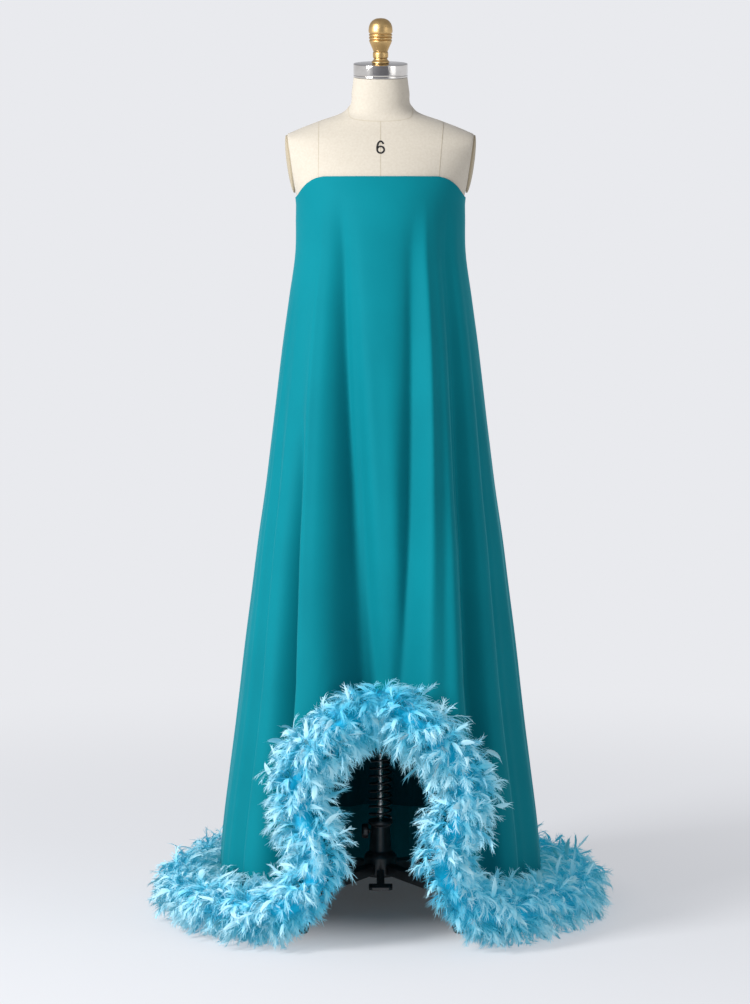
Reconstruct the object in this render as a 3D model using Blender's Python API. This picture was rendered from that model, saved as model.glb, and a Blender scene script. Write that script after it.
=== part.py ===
"""Strapless evening dress with a feather boa along its hem, on a limbless dress form.

Metres, +Z up, the wearer's front towards -Y. Everything is worked out about the
stand's upright pole, and the finished part is then moved so that the origin lies at
the bottom centre of its box. An angle round the pole is 0 at the front centre and
grows towards +X, so that 90 is the side seam at +X and 180 the back centre.
"""

import math

import bmesh
import bpy
import numpy as np
from mathutils import Matrix, Vector

# Gap that touching pieces keep.
SEAT = 0.0003

# Cloth.
CLOTH_WALL = 0.0020
LINING_WALL = 0.0012
LINING_HEM = 0.146
TOP_FRONT = 1.336
TOP_SIDE = 1.300
TOP_EASE_START = 34.0
TOP_EASE_END = 84.0
COLUMN_STEP = 4.0
ARCH_COLUMNS = (20.0, 22.0, 24.0, 26.0, 28.0, 30.0)

# Every section is a rounded oval. This power makes it a little squarer than an ellipse.
OVAL = 0.94

# Dress form: height, half_width, front, back.
FORM_SECTIONS = np.array([
    (0.700, 0.148, 0.096, 0.114),
    (0.718, 0.164, 0.106, 0.130),
    (0.800, 0.176, 0.112, 0.138),
    (0.900, 0.166, 0.106, 0.125),
    (1.000, 0.136, 0.094, 0.098),
    (1.050, 0.128, 0.092, 0.092),
    (1.120, 0.136, 0.100, 0.095),
    (1.200, 0.1460, 0.118, 0.101),
    (1.260, 0.1478, 0.125, 0.105),
    (1.300, 0.1496, 0.1210, 0.108),
    (1.336, 0.1620, 0.1085, 0.112),
    (1.375, 0.1760, 0.0900, 0.112),
    (1.405, 0.1800, 0.0730, 0.100),
    (1.420, 0.1490, 0.0640, 0.086),
    (1.436, 0.1080, 0.0560, 0.072),
    (1.450, 0.0690, 0.0510, 0.060),
    (1.462, 0.0560, 0.0500, 0.054),
    (1.488, 0.0515, 0.0480, 0.050),
    (1.514, 0.0480, 0.0470, 0.048),
])
FORM_COLUMNS = 28
FORM_ROWS = (0.700, 0.706, 0.718, 0.760, 0.820, 0.900, 0.980, 1.050, 1.120, 1.190, 1.250, 1.290,
             1.325, 1.360, 1.390, 1.408, 1.422, 1.436, 1.450, 1.463, 1.488, 1.514)
ARM_CUT_X = 0.1515
ARM_CUT_Z = 1.300
ARM_CUT_SLOPE = 0.135
# Arm plate: middle's depth and height, half-depth and half-height, rings of scale and distance off the cut.
ARM_PLATE_Y = 0.006
ARM_PLATE_Z = 1.3595
ARM_PLATE_HALF_Y = 0.040
ARM_PLATE_HALF_Z = 0.0515
ARM_PLATE_RINGS = ((1.0, SEAT), (1.0, 0.0035), (0.86, 0.0065), (0.45, 0.0085))
NECK_PIVOT_Z = 1.430
NECK_LEAN = math.radians(8.0)

# Dress, outside of the cloth without its folds: height, half_width, front, back.
DRESS_SECTIONS = np.array([
    (0.000, 0.296, 0.284, 0.352),
    (0.060, 0.292, 0.281, 0.326),
    (0.146, 0.285, 0.277, 0.300),
    (0.255, 0.271, 0.269, 0.276),
    (0.342, 0.259, 0.261, 0.259),
    (0.422, 0.249, 0.252, 0.244),
    (0.510, 0.239, 0.240, 0.228),
    (0.597, 0.2285, 0.228, 0.213),
    (0.684, 0.2185, 0.216, 0.198),
    (0.772, 0.2065, 0.203, 0.184),
    (0.859, 0.1965, 0.191, 0.170),
    (0.946, 0.1865, 0.178, 0.157),
    (1.034, 0.1760, 0.164, 0.143),
    (1.121, 0.1640, 0.150, 0.129),
    (1.208, 0.1525, 0.138, 0.1165),
    (1.260, 0.1520, 0.1345, 0.1140),
    (1.300, 0.1528, 0.1275, 0.1135),
    (1.340, 0.1665, 0.1112, 0.1160),
])

# Heights of the rings where the hem lies on the floor. Over the arch they close up evenly.
DRESS_ROWS = (1.300, 1.275, 1.240, 1.190, 1.110, 1.010, 0.890, 0.760, 0.640, 0.520, 0.410, 0.310,
              0.225, LINING_HEM, 0.080, 0.035, 0.000)

# Hem of the skirt: angle, height.
HEM_ARCH = np.array([
    (0.0, 0.424),
    (8.0, 0.418),
    (14.0, 0.394),
    (18.0, 0.352),
    (20.5, 0.296),
    (22.0, 0.225),
    (23.0, 0.150),
    (25.0, 0.090),
    (29.0, 0.035),
    (34.0, 0.000),
])

# Folds: angle at the top and at the hem, half-width at the top and at the hem, depth at the hem, height where
# each starts, and flatness, 1 for a sharp crest and 4 for a flat one. A negative depth is a trough.
FOLDS = np.array([
    (-42.0, -26.0, 10.0, 10.0, 0.026, 1.290, 2.5),
    (33.0, 25.0, 8.0, 9.5, 0.028, 1.290, 3.0),
    (-28.5, -4.5, 7.0, 12.0, -0.062, 1.300, 1.8),
    (22.0, 9.5, 6.0, 6.5, -0.034, 1.270, 1.6),
    (-10.0, 3.0, 4.0, 4.0, 0.016, 1.050, 2.0),
    (51.0, 41.5, 5.5, 5.0, -0.032, 1.300, 1.5),
    (61.0, 51.0, 4.5, 6.0, 0.010, 1.280, 2.0),
    (73.0, 72.0, 5.0, 6.0, 0.010, 1.000, 2.0),
    (-48.0, -40.0, 3.5, 4.3, -0.044, 0.920, 1.6),
    (-58.0, -50.5, 5.0, 5.0, 0.008, 1.050, 2.0),
    (-66.0, -59.0, 3.0, 3.5, -0.009, 0.950, 1.5),
    (-76.0, -70.0, 6.0, 6.0, 0.009, 1.150, 2.0),
    (-103.0, -104.0, 6.0, 7.0, 0.014, 1.200, 2.0),
    (-116.0, -116.0, 5.0, 5.5, -0.022, 1.180, 1.5),
    (-127.0, -128.0, 7.0, 8.5, 0.022, 1.160, 3.0),
    (-141.0, -142.0, 5.5, 6.0, -0.026, 1.200, 1.5),
    (-153.0, -156.0, 7.0, 8.5, 0.024, 1.200, 3.0),
    (-167.0, -168.0, 5.0, 5.5, -0.020, 1.150, 1.5),
    (104.0, 104.5, 5.5, 6.5, 0.014, 1.160, 2.0),
    (115.0, 116.0, 5.0, 5.5, -0.020, 1.160, 1.5),
    (128.0, 129.0, 7.0, 8.5, 0.024, 1.180, 3.0),
    (141.0, 143.0, 5.0, 6.0, -0.028, 1.200, 1.5),
    (153.0, 156.0, 7.0, 8.0, 0.022, 1.150, 3.0),
    (167.0, 169.0, 5.0, 5.5, -0.018, 1.150, 1.5),
    (180.0, 180.0, 6.0, 7.0, 0.010, 1.100, 2.0),
])
FOLD_FULL = 0.45
FOLD_GROWTH = 0.85

# Boa. Its middle line runs from the front centre to the back centre: angle, height, core radius.
BOA_LINE = np.array([
    (0.0, 0.414, 0.041),
    (5.8, 0.408, 0.042),
    (11.2, 0.388, 0.044),
    (17.0, 0.358, 0.046),
    (22.2, 0.318, 0.047),
    (23.9, 0.268, 0.047),
    (21.4, 0.222, 0.047),
    (18.0, 0.182, 0.048),
    (16.8, 0.146, 0.048),
    (18.6, 0.112, 0.048),
    (23.6, 0.080, 0.048),
    (31.5, 0.062, 0.047),
    (42.5, 0.056, 0.047),
    (56.0, 0.052, 0.046),
    (71.0, 0.049, 0.045),
    (89.0, 0.049, 0.045),
    (110.0, 0.049, 0.045),
    (133.0, 0.049, 0.045),
    (157.0, 0.049, 0.045),
    (180.0, 0.049, 0.045),
])
BOA_SIDES = 10
BOA_RING_STEP = 0.037
BOA_WALL_GAP = 0.0013
BOA_CUTS = (3.8, 8.0, 12.7, 14.6, 16.3, 17.7)
# The folds that the boa clears lie within these angles of its middle line.
COVER_ANGLES = (-11.0, -8.0, -5.5, -3.0, -1.0, 1.0, 3.0, 5.5, 8.0, 11.0)
COVER_SOFTNESS = 0.0022

# Locks of plumes on the boa. Lengths are shares of the core's radius, and slants are shares of a unit step.
LOCKS_PER_RING = 3.0
LOCK_OUT = 0.50
LOCK_LENGTHS = (0.75, 1.1)
LOCK_SLANT = 0.35
LOCK_DROOPS = (0.18, 0.45)
LOCK_NARROWING = 0.62
LOCK_SHOULDER = 0.5
LOCK_FLOOR = 0.004
LOCK_END_GAP = 0.003
# A lock ends no further inwards than this from its root.
LOCK_INWARDS = 0.006
# Faces of the core that look further inwards or down than these carry no lock.
LOCK_FACING_IN = -0.25
LOCK_FACING_DOWN = -0.45
LOCK_DROOP_FROM = -0.2

# Steel cap and brass finial, about the neck's own leaning axis.
CAP_RADIUS = 0.0485
CAP_HEIGHT = 0.0240
CAP_EDGE = 0.0015
# Finial: radius, height above the cap.
FINIAL_PROFILE = (
    (0.0155, 0.0000), (0.0155, 0.0035), (0.0118, 0.0075), (0.0118, 0.0095), (0.0136, 0.0110),
    (0.0136, 0.0190), (0.0128, 0.0215), (0.0160, 0.0290), (0.0192, 0.0370), (0.0202, 0.0405),
    (0.0186, 0.0420), (0.0206, 0.0450), (0.0206, 0.0500), (0.0186, 0.0520), (0.0213, 0.0560),
    (0.0206, 0.0640), (0.0172, 0.0720), (0.0112, 0.0775), (0.0040, 0.0798),
)

# Upright, spring and cast base.
POLE_RADIUS = 0.0065
COLUMN_TOP = 0.171
SPRING_RADIUS = 0.0190
SPRING_WIRE = 0.0024
SPRING_TURNS = 9
SPRING_STEPS = 9
SPRING_PITCH = 0.0140
COLLAR_HEIGHT = 0.012
HUB_RADIUS = 0.030
HUB_BOTTOM = 0.068
# Hub and column: radius, height.
COLUMN_PROFILE = (
    (0.027, HUB_BOTTOM), (HUB_RADIUS, 0.071), (HUB_RADIUS, 0.104), (0.026, 0.110), (0.0205, 0.114),
    (0.0172, 0.160), (0.0225, 0.164), (0.0225, COLUMN_TOP),
)
LEG_HALF_WIDTH = 0.011
LEG_THICKNESS = 0.018
LEG_RISE = 0.014
BOSS_RADIUS = 0.017

# Casters: side sign, front or back sign, heading of the trailing wheel in degrees.
CASTERS = {
    "front_left": (-1, -1, 262.0),
    "front_right": (1, -1, 284.0),
    "back_left": (-1, 1, 112.0),
    "back_right": (1, 1, 74.0),
}
CASTER_X = 0.135
CASTER_Y = 0.165
CASTER_TRAIL = 0.018
WHEEL_RADIUS = 0.025
WHEEL_WIDTH = 0.018
WHEEL_SIDES = 16
FORK_GAP = 0.0225
FORK_CHEEK = 0.0035
FORK_LENGTH = 0.016
FORK_TOP = 0.0600
FORK_CROWN = 0.0050
# Shares of the trail by which the fork's legs and its crown stand back from the swivel.
FORK_LEG_BACK = 1.0
FORK_CROWN_BACK = 0.35
# Distance of the fork's foot below the axle.
FORK_FOOT = 0.006

# Release pedal and clamp knob.
PEDAL_BACK = 0.0304
PEDAL_NECK = 0.150
PEDAL_FRONT = 0.186
PEDAL_STEM_HALF = 0.007
PEDAL_PAD_HALF = 0.021
PEDAL_CORNER = 0.006
PEDAL_Z = 0.080
PEDAL_THICKNESS = 0.006
KNOB_Z = 0.150
KNOB_RADIUS = 0.0135
KNOB_LENGTH = 0.0125
KNOB_STUB_RADIUS = 0.0040
KNOB_STUB = 0.0036
KNOB_EDGE = 0.002
KNOB_DISH = 0.003

MATERIALS = {
    "teal_crepe": ((0.004, 0.300, 0.380), 0.55, 0.0),
    "teal_lining": ((0.003, 0.180, 0.230), 0.45, 0.0),
    "blue_feather": ((0.110, 0.480, 0.640), 0.80, 0.0),
    "cream_linen": ((0.830, 0.780, 0.660), 0.85, 0.0),
    "arm_plate_linen": ((0.700, 0.640, 0.520), 0.85, 0.0),
    "polished_steel": ((0.620, 0.610, 0.600), 0.15, 1.0),
    "turned_brass": ((0.560, 0.370, 0.150), 0.30, 1.0),
    "black_iron": ((0.012, 0.012, 0.013), 0.45, 0.6),
    "black_rubber": ((0.010, 0.010, 0.010), 0.60, 0.0),
}


def smooth(table, column, at):
    """Cubic curve through a table's rows, read at one or many positions along its first column."""
    along = table[:, 0]
    value = table[:, column]
    slope = np.gradient(value, along)
    at = np.clip(np.asarray(at, float), along[0], along[-1])
    row = np.clip(np.searchsorted(along, at) - 1, 0, len(along) - 2)
    span = along[row + 1] - along[row]
    t = (at - along[row]) / span
    start = (2 * t**3 - 3 * t**2 + 1) * value[row] + (t**3 - 2 * t**2 + t) * span * slope[row]
    end = (3 * t**2 - 2 * t**3) * value[row + 1] + (t**3 - t**2) * span * slope[row + 1]
    return start + end


def ease(low, high, at):
    """0 below low, 1 above high, with a soft start and end."""
    t = np.clip((np.asarray(at, float) - low) / (high - low), 0.0, 1.0)
    return t * t * (3 - 2 * t)


def oval(sections, angle, height):
    """Point of a section: half_width across, front or back in depth, by the angle round the pole."""
    across = np.sin(np.radians(angle))
    ahead = np.cos(np.radians(angle))
    depth = np.where(ahead > 0, smooth(sections, 2, height), smooth(sections, 3, height))
    x = smooth(sections, 1, height) * np.sign(across) * np.abs(across) ** OVAL
    y = -depth * np.sign(ahead) * np.abs(ahead) ** OVAL
    return x, y


def outward(sections, angle, height):
    """Level direction square to a section, away from the pole."""
    step = 0.5
    x_low, y_low = oval(sections, angle - step, height)
    x_high, y_high = oval(sections, angle + step, height)
    length = np.hypot(x_high - x_low, y_high - y_low)
    return (y_high - y_low) / length, -(x_high - x_low) / length


def fold_height(angle, height):
    """Folds: each a crest exp(-|away / half-width| ** flatness) whose angle drifts from the top to the hem."""
    angle = np.asarray(angle, float)
    height = np.asarray(height, float)
    down = np.clip((TOP_FRONT - height) / (TOP_FRONT - FOLD_FULL), 0.0, 1.0)
    total = np.zeros(np.broadcast(angle, height).shape)
    for top_angle, hem_angle, top_half, hem_half, depth, start, flatness in FOLDS:
        away = (angle - top_angle - (hem_angle - top_angle) * down + 180.0) % 360.0 - 180.0
        half = top_half + (hem_half - top_half) * down
        crest = np.exp(-((away / half) ** 2 + 0.01) ** (flatness / 2))
        growth = np.clip((start - height) / (start - FOLD_FULL), 0.0, 1.0)
        total = total + depth * growth**FOLD_GROWTH * crest
    return total


def fold_cover(angle, height):
    """Smooth cover of the folds within the boa's reach, on both sides of an angle."""
    near = np.array([fold_height(angle + aside, height) for aside in COVER_ANGLES])
    return np.log(np.sum(np.exp(near / COVER_SOFTNESS), axis=0)) * COVER_SOFTNESS


def top_height(angle):
    """Upper edge: level over the bust, lower under the arms and across the back."""
    return TOP_FRONT - (TOP_FRONT - TOP_SIDE) * ease(TOP_EASE_START, TOP_EASE_END, np.abs(angle))


def hem_height(angle):
    """Lower edge: an arch over the front, on the floor at the sides and the back."""
    return smooth(HEM_ARCH, 1, np.abs(angle)).clip(0.0)


def cloth_point(angle, height, inward):
    """Point of the dress, a distance inside the cloth's outer face."""
    x, y = oval(DRESS_SECTIONS, angle, height)
    nx, ny = outward(DRESS_SECTIONS, angle, height)
    out = fold_height(angle, height) - inward
    return np.stack([x + nx * out, y + ny * out, np.broadcast_to(height, x.shape)], axis=-1)


def material(name):
    """Principled material from the table, made once."""
    made = bpy.data.materials.get(name)
    if made is None:
        colour, roughness, metallic = MATERIALS[name]
        made = bpy.data.materials.new(name)
        made.use_nodes = True
        shader = made.node_tree.nodes["Principled BSDF"]
        shader.inputs["Base Color"].default_value = (*colour, 1.0)
        shader.inputs["Roughness"].default_value = roughness
        shader.inputs["Metallic"].default_value = metallic
        made.diffuse_color = (*colour, 1.0)
    return made


def new_object(name, points, faces, material_name, sharp=None):
    """One closed piece from its points and faces, with outward normals."""
    mesh = bpy.data.meshes.new(name)
    mesh.from_pydata([tuple(p) for p in points], [], [tuple(f) for f in faces])
    shape = bmesh.new()
    shape.from_mesh(mesh)
    bmesh.ops.recalc_face_normals(shape, faces=shape.faces)
    shape.to_mesh(mesh)
    shape.free()
    if sharp is not None:
        mesh.shade_smooth()
        mesh.set_sharp_from_angle(angle=math.radians(sharp))
    mesh.materials.append(material(material_name))
    piece = bpy.data.objects.new(name, mesh)
    bpy.context.scene.collection.objects.link(piece)
    return piece


def wall(name, outer, inner, material_name):
    """Cloth wall between two grids of points, closed along its four edges."""
    rows, columns = outer.shape[:2]
    count = rows * columns
    points = np.concatenate([outer.reshape(-1, 3), inner.reshape(-1, 3)])
    index = np.arange(count).reshape(rows, columns)
    corner, right = index[:-1, :-1], index[:-1, 1:]
    below, across = index[1:, :-1], index[1:, 1:]
    upper = np.stack([corner, right, across], axis=-1).reshape(-1, 3)
    lower = np.stack([corner, across, below], axis=-1).reshape(-1, 3)
    halves = np.concatenate([upper, lower])
    faces = [tuple(half) for half in halves]
    faces += [tuple(half[::-1] + count) for half in halves]
    border = np.concatenate([index[0, :-1], index[:-1, -1], index[-1, :0:-1], index[:0:-1, 0]])
    for here, there in zip(border, np.roll(border, -1)):
        faces.append((here, there, there + count, here + count))
    return new_object(name, points, faces, material_name, sharp=40)


def panel(name, angles, material_name="teal_crepe"):
    """Panel of the dress over a run of angles, from its upper edge to its hem."""
    share = (DRESS_ROWS[0] - np.array(DRESS_ROWS)) / DRESS_ROWS[0]
    top = top_height(angles)
    heights = top - (top - hem_height(angles)) * share[:, None]
    grid = np.broadcast_to(angles, heights.shape)
    return wall(name, cloth_point(grid, heights, 0.0), cloth_point(grid, heights, CLOTH_WALL), material_name)


def seam_angles(start, end, extra=()):
    """Columns from one seam to the next, half a seam gap inside each."""
    half_gap = math.degrees(0.5 * SEAT / DRESS_SECTIONS[:, 1].min())
    steps = int(round((end - start) / COLUMN_STEP))
    even = np.linspace(start, end, steps + 1)
    near = np.array(extra)
    if len(near):
        even = even[np.min(np.abs(even[:, None] - near), axis=1) > 0.9]
    angles = np.unique(np.concatenate([even, near]))
    angles[0] = start + half_gap
    angles[-1] = end - half_gap
    return angles


def dress():
    """Front, two backs with a centre seam, and the lining that shows behind the arch."""
    extra = tuple(-a for a in ARCH_COLUMNS) + ARCH_COLUMNS
    panel("front_panel", seam_angles(-90.0, 90.0, extra))
    right = seam_angles(90.0, 180.0)
    left = seam_angles(180.0, 270.0)
    panel("back_panel_right", right)
    panel("back_panel_left", left)
    angles = np.concatenate([right[1:], left[:-1]])
    heights = np.array([h for h in DRESS_ROWS if LINING_HEM <= h < FORM_SECTIONS[0, 0]])
    grid, levels = np.meshgrid(angles, heights)
    face = CLOTH_WALL + SEAT
    outer = cloth_point(grid, levels, face)
    wall("lining_back", outer, cloth_point(grid, levels, face + LINING_WALL), "teal_lining")


def boa_rows(at):
    """Row numbers of the boa's table from -19 to 19, round and round."""
    last = len(BOA_LINE) - 1.0
    return (np.asarray(at, float) + last) % (2 * last) - last


def boa_value(column, at):
    """A column of the boa's table at a row number, the same on both sides."""
    numbered = np.column_stack([np.arange(len(BOA_LINE), dtype=float), BOA_LINE[:, column]])
    return smooth(numbered, 1, np.abs(boa_rows(at)))


def boa_line(at):
    """Middle line of the boa at a row number of its table, negative on the -X side."""
    angle = np.where(boa_rows(at) < 0, -1.0, 1.0) * boa_value(0, at)
    height = boa_value(1, at)
    x, y = oval(DRESS_SECTIONS, angle, height)
    nx, ny = outward(DRESS_SECTIONS, angle, height)
    out = fold_cover(angle, height) + boa_value(2, at) + BOA_WALL_GAP
    return np.stack([x + nx * out, y + ny * out, height], axis=-1)


def boa_stations(start, end):
    """Row numbers along a stretch, evenly spaced in real length, half a seam gap inside each end."""
    fine = np.linspace(start, end, 400)
    length = np.concatenate([[0.0], np.cumsum(np.linalg.norm(np.diff(boa_line(fine), axis=0), axis=1))])
    count = max(3, int(round(length[-1] / BOA_RING_STEP)))
    places = np.linspace(0.5 * SEAT, length[-1] - 0.5 * SEAT, count + 1)
    return np.interp(places, length, fine)


def boa_frames(stations):
    """Middle point, direction, level side direction and cross direction at each station."""
    step = 0.02
    centre = boa_line(stations)
    ahead = boa_line(stations + step) - boa_line(stations - step)
    ahead /= np.linalg.norm(ahead, axis=1)[:, None]
    away = centre * (1.0, 1.0, 0.0)
    away /= np.linalg.norm(away, axis=1)[:, None]
    away -= ahead * np.sum(away * ahead, axis=1)[:, None]
    away /= np.linalg.norm(away, axis=1)[:, None]
    return centre, ahead, away, np.cross(ahead, away)


def add_locks(shape, quads, most, reach, outside, ends, rng):
    """Draws faces of the core out into four-sided tapering locks that stay between the stretch's ends."""
    done = 0
    for quad in quads:
        if done == most:
            break
        normal = quad.normal.copy()
        middle = quad.calc_center_median()
        lean = normal.cross(quad.edges[0].verts[1].co - quad.edges[0].verts[0].co).normalized()
        length = reach * rng.uniform(*LOCK_LENGTHS)
        heading = normal + lean * rng.uniform(-LOCK_SLANT, LOCK_SLANT)
        heading.z -= rng.uniform(*LOCK_DROOPS) * (normal.z > LOCK_DROOP_FROM)
        heading.normalize()
        tip = middle + heading * length
        inwards = (middle - tip).xy.dot(outside(middle))
        if tip.z < LOCK_FLOOR or inwards > LOCK_INWARDS:
            continue
        if min((tip - point).dot(inward) for point, inward in ends) < LOCK_END_GAP:
            continue
        drawn = bmesh.ops.extrude_discrete_faces(shape, faces=[quad])["faces"][0]
        for corner in drawn.verts:
            corner.co = middle + (corner.co - middle) * LOCK_NARROWING + heading * length * LOCK_SHOULDER
        fan = bmesh.ops.poke(shape, faces=[drawn])
        fan["verts"][0].co = tip
        done += 1


def boa_stretch(name, start, end, rng):
    """One stretch of the boa: a round core with its locks of plumes."""
    stations = boa_stations(start, end)
    centre, ahead, away, cross = boa_frames(stations)
    turn = np.radians(np.arange(BOA_SIDES) * 360.0 / BOA_SIDES)
    ring = away[:, None] * np.cos(turn)[:, None] + cross[:, None] * np.sin(turn)[:, None]
    radius = boa_value(2, stations)
    points = (centre[:, None] + radius[:, None, None] * ring).reshape(-1, 3)
    count = len(stations)
    index = np.arange(count * BOA_SIDES).reshape(count, BOA_SIDES)
    after = np.roll(index, -1, axis=1)
    faces = np.stack([index[:-1], after[:-1], after[1:], index[1:]], axis=-1).reshape(-1, 4)
    caps = [tuple(index[0]), tuple(index[-1])]
    piece = new_object(name, points, [tuple(f) for f in faces] + caps, "blue_feather", sharp=180)
    shape = bmesh.new()
    shape.from_mesh(piece.data)
    sides = [f for f in shape.faces if len(f.verts) == 4]
    ends = [(Vector(centre[0]), Vector(ahead[0])), (Vector(centre[-1]), Vector(-ahead[-1]))]

    def outside(point):
        return point.xy.normalized()

    def fits(face):
        facing_out = face.normal.xy.dot(outside(face.calc_center_median()))
        return facing_out > LOCK_FACING_IN and face.normal.z > LOCK_FACING_DOWN

    chequered = [f for f in sides if sum(divmod(f.index, BOA_SIDES)) % 2 == 0]
    chosen = [f for f in chequered if fits(f)]
    locks = int(LOCKS_PER_RING * (count - 1))
    quads = [chosen[k] for k in rng.permutation(len(chosen))]
    add_locks(shape, quads, locks, LOCK_OUT * radius.mean(), outside, ends, rng)
    bmesh.ops.recalc_face_normals(shape, faces=shape.faces)
    shape.to_mesh(piece.data)
    shape.free()
    return piece


def boa():
    """Boa in stretches: one over the arch, and six from there to the back on each side."""
    rng = np.random.default_rng(6)
    boa_stretch("boa_arch", -BOA_CUTS[0], BOA_CUTS[0], rng)
    bounds = BOA_CUTS + (len(BOA_LINE) - 1.0,)
    for number, (start, end) in enumerate(zip(bounds, bounds[1:]), 1):
        boa_stretch(f"boa_right_{number}", start, end, rng)
        boa_stretch(f"boa_left_{number}", -end, -start, rng)


def lean(points):
    """Turns the neck forwards about a level line through its root, softly from below it."""
    turn = NECK_LEAN * ease(NECK_PIVOT_Z - 0.02, NECK_PIVOT_Z + 0.04, points[:, 2])
    rise = points[:, 2] - NECK_PIVOT_Z
    y = points[:, 1] * np.cos(turn) - rise * np.sin(turn)
    z = NECK_PIVOT_Z + points[:, 1] * np.sin(turn) + rise * np.cos(turn)
    return np.column_stack([points[:, 0], y, z])


def rings_closed(name, rings, material_name, sharp):
    """Closed piece through rings of points, lowest first, with a flat face at each end."""
    count, sides = rings.shape[:2]
    index = np.arange(count * sides).reshape(count, sides)
    after = np.roll(index, -1, axis=1)
    faces = np.stack([index[:-1], after[:-1], after[1:], index[1:]], axis=-1).reshape(-1, 4)
    caps = [tuple(index[0]), tuple(index[-1])]
    return new_object(name, rings.reshape(-1, 3), [tuple(f) for f in faces] + caps, material_name, sharp)


def arm_cut(height):
    """Half distance between the two flat arm cuts at a height."""
    return ARM_CUT_X + (height - ARM_CUT_Z) * ARM_CUT_SLOPE


def dress_form():
    """Body and neck of the form, cut flat at the arms, with a plate on each cut."""
    angles = np.arange(FORM_COLUMNS) * 360.0 / FORM_COLUMNS
    grid, heights = np.meshgrid(angles, np.array(FORM_ROWS))
    x, y = oval(FORM_SECTIONS, grid, heights)
    limit = np.where(heights > ARM_CUT_Z, arm_cut(heights), 1.0)
    rings = np.stack([np.clip(x, -limit, limit), y, heights], axis=-1)
    rings = lean(rings.reshape(-1, 3)).reshape(rings.shape)
    rings_closed("form_body", rings, "cream_linen", 60)
    for side, name in ((1, "arm_plate_right"), (-1, "arm_plate_left")):
        arm_plate(name, side)


def arm_plate(name, side):
    """Oval plate, domed on its outer face, seated on the arm cut."""
    turn = np.radians(np.arange(20) * 18.0)
    rings = []
    for scale, out in ARM_PLATE_RINGS:
        y = ARM_PLATE_Y + ARM_PLATE_HALF_Y * scale * np.sin(turn)
        z = ARM_PLATE_Z + ARM_PLATE_HALF_Z * scale * np.cos(turn)
        x = side * (arm_cut(z) + out)
        rings.append(np.column_stack([x, y, z]))
    rings_closed(name, np.array(rings), "arm_plate_linen", 50)


def turned(name, profile, material_name, sides, sharp=35, place=None):
    """Solid turned about the vertical axis, then placed by a matrix."""
    turn = np.radians((np.arange(sides) + 0.5) * 360.0 / sides)
    radius, height = np.array(profile).T
    rings = np.stack([
        radius[:, None] * np.cos(turn),
        radius[:, None] * np.sin(turn),
        np.broadcast_to(height[:, None], (len(radius), sides)),
    ], axis=-1)
    piece = rings_closed(name, rings, material_name, sharp)
    if place is not None:
        piece.matrix_world = place
    return piece


def neck_top():
    """Frame at the middle of the neck's upper face, along the leaning neck."""
    pivot = Matrix.Translation((0.0, 0.0, NECK_PIVOT_Z))
    rise = Matrix.Translation((0.0, 0.0, FORM_SECTIONS[-1, 0] - NECK_PIVOT_Z + SEAT))
    return pivot @ Matrix.Rotation(NECK_LEAN, 4, "X") @ rise


def neck_hardware():
    """Steel cap with the brass finial on it."""
    profile = (
        (CAP_RADIUS - CAP_EDGE, 0.0), (CAP_RADIUS, CAP_EDGE), (CAP_RADIUS, CAP_HEIGHT - CAP_EDGE),
        (CAP_RADIUS - CAP_EDGE, CAP_HEIGHT),
    )
    turned("neck_cap", profile, "polished_steel", 32, place=neck_top())
    above = Matrix.Translation((0.0, 0.0, CAP_HEIGHT + SEAT))
    turned("finial", FINIAL_PROFILE, "turned_brass", 16, place=neck_top() @ above)


def spring():
    """Coil round the pole: a four-sided wire swept along a helix."""
    steps = SPRING_STEPS * SPRING_TURNS
    along = np.arange(steps + 1) / steps
    turn = along * SPRING_TURNS * 2 * math.pi
    start = COLUMN_TOP + SEAT + SPRING_WIRE
    middle = start + along * SPRING_TURNS * SPRING_PITCH
    corner = np.radians((45.0, 135.0, 225.0, 315.0))
    radius = SPRING_RADIUS + SPRING_WIRE * np.cos(corner)
    rings = np.stack([
        radius * np.cos(turn)[:, None],
        radius * np.sin(turn)[:, None],
        middle[:, None] + SPRING_WIRE * np.sin(corner),
    ], axis=-1)
    rings_closed("height_spring", rings, "black_iron", 50)
    return start + SPRING_TURNS * SPRING_PITCH + SPRING_WIRE * math.sin(corner[0])


def upright():
    """Cast column and hub, pole, spring and the collar that holds the spring down."""
    turned("base_column", COLUMN_PROFILE, "black_iron", 20)
    pole = ((POLE_RADIUS, COLUMN_TOP + SEAT), (POLE_RADIUS, FORM_SECTIONS[0, 0] - SEAT))
    turned("pole", pole, "polished_steel", 12)
    low = spring() + SEAT
    bore = POLE_RADIUS + SEAT
    outer = SPRING_RADIUS + SPRING_WIRE
    loop = ((bore, low), (outer, low), (outer, low + COLLAR_HEIGHT), (bore, low + COLLAR_HEIGHT))
    sides = 12
    turn = np.radians((np.arange(sides) + 0.5) * 360.0 / sides)
    points = [(r * math.cos(a), r * math.sin(a), z) for r, z in loop for a in turn]
    index = np.arange(4 * sides).reshape(4, sides)
    after = np.roll(index, -1, axis=1)
    below = np.roll(index, -1, axis=0)
    across = np.roll(after, -1, axis=0)
    faces = np.stack([index, after, across, below], axis=-1).reshape(-1, 4)
    new_object("spring_collar", points, faces, "black_iron", sharp=35)


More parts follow.
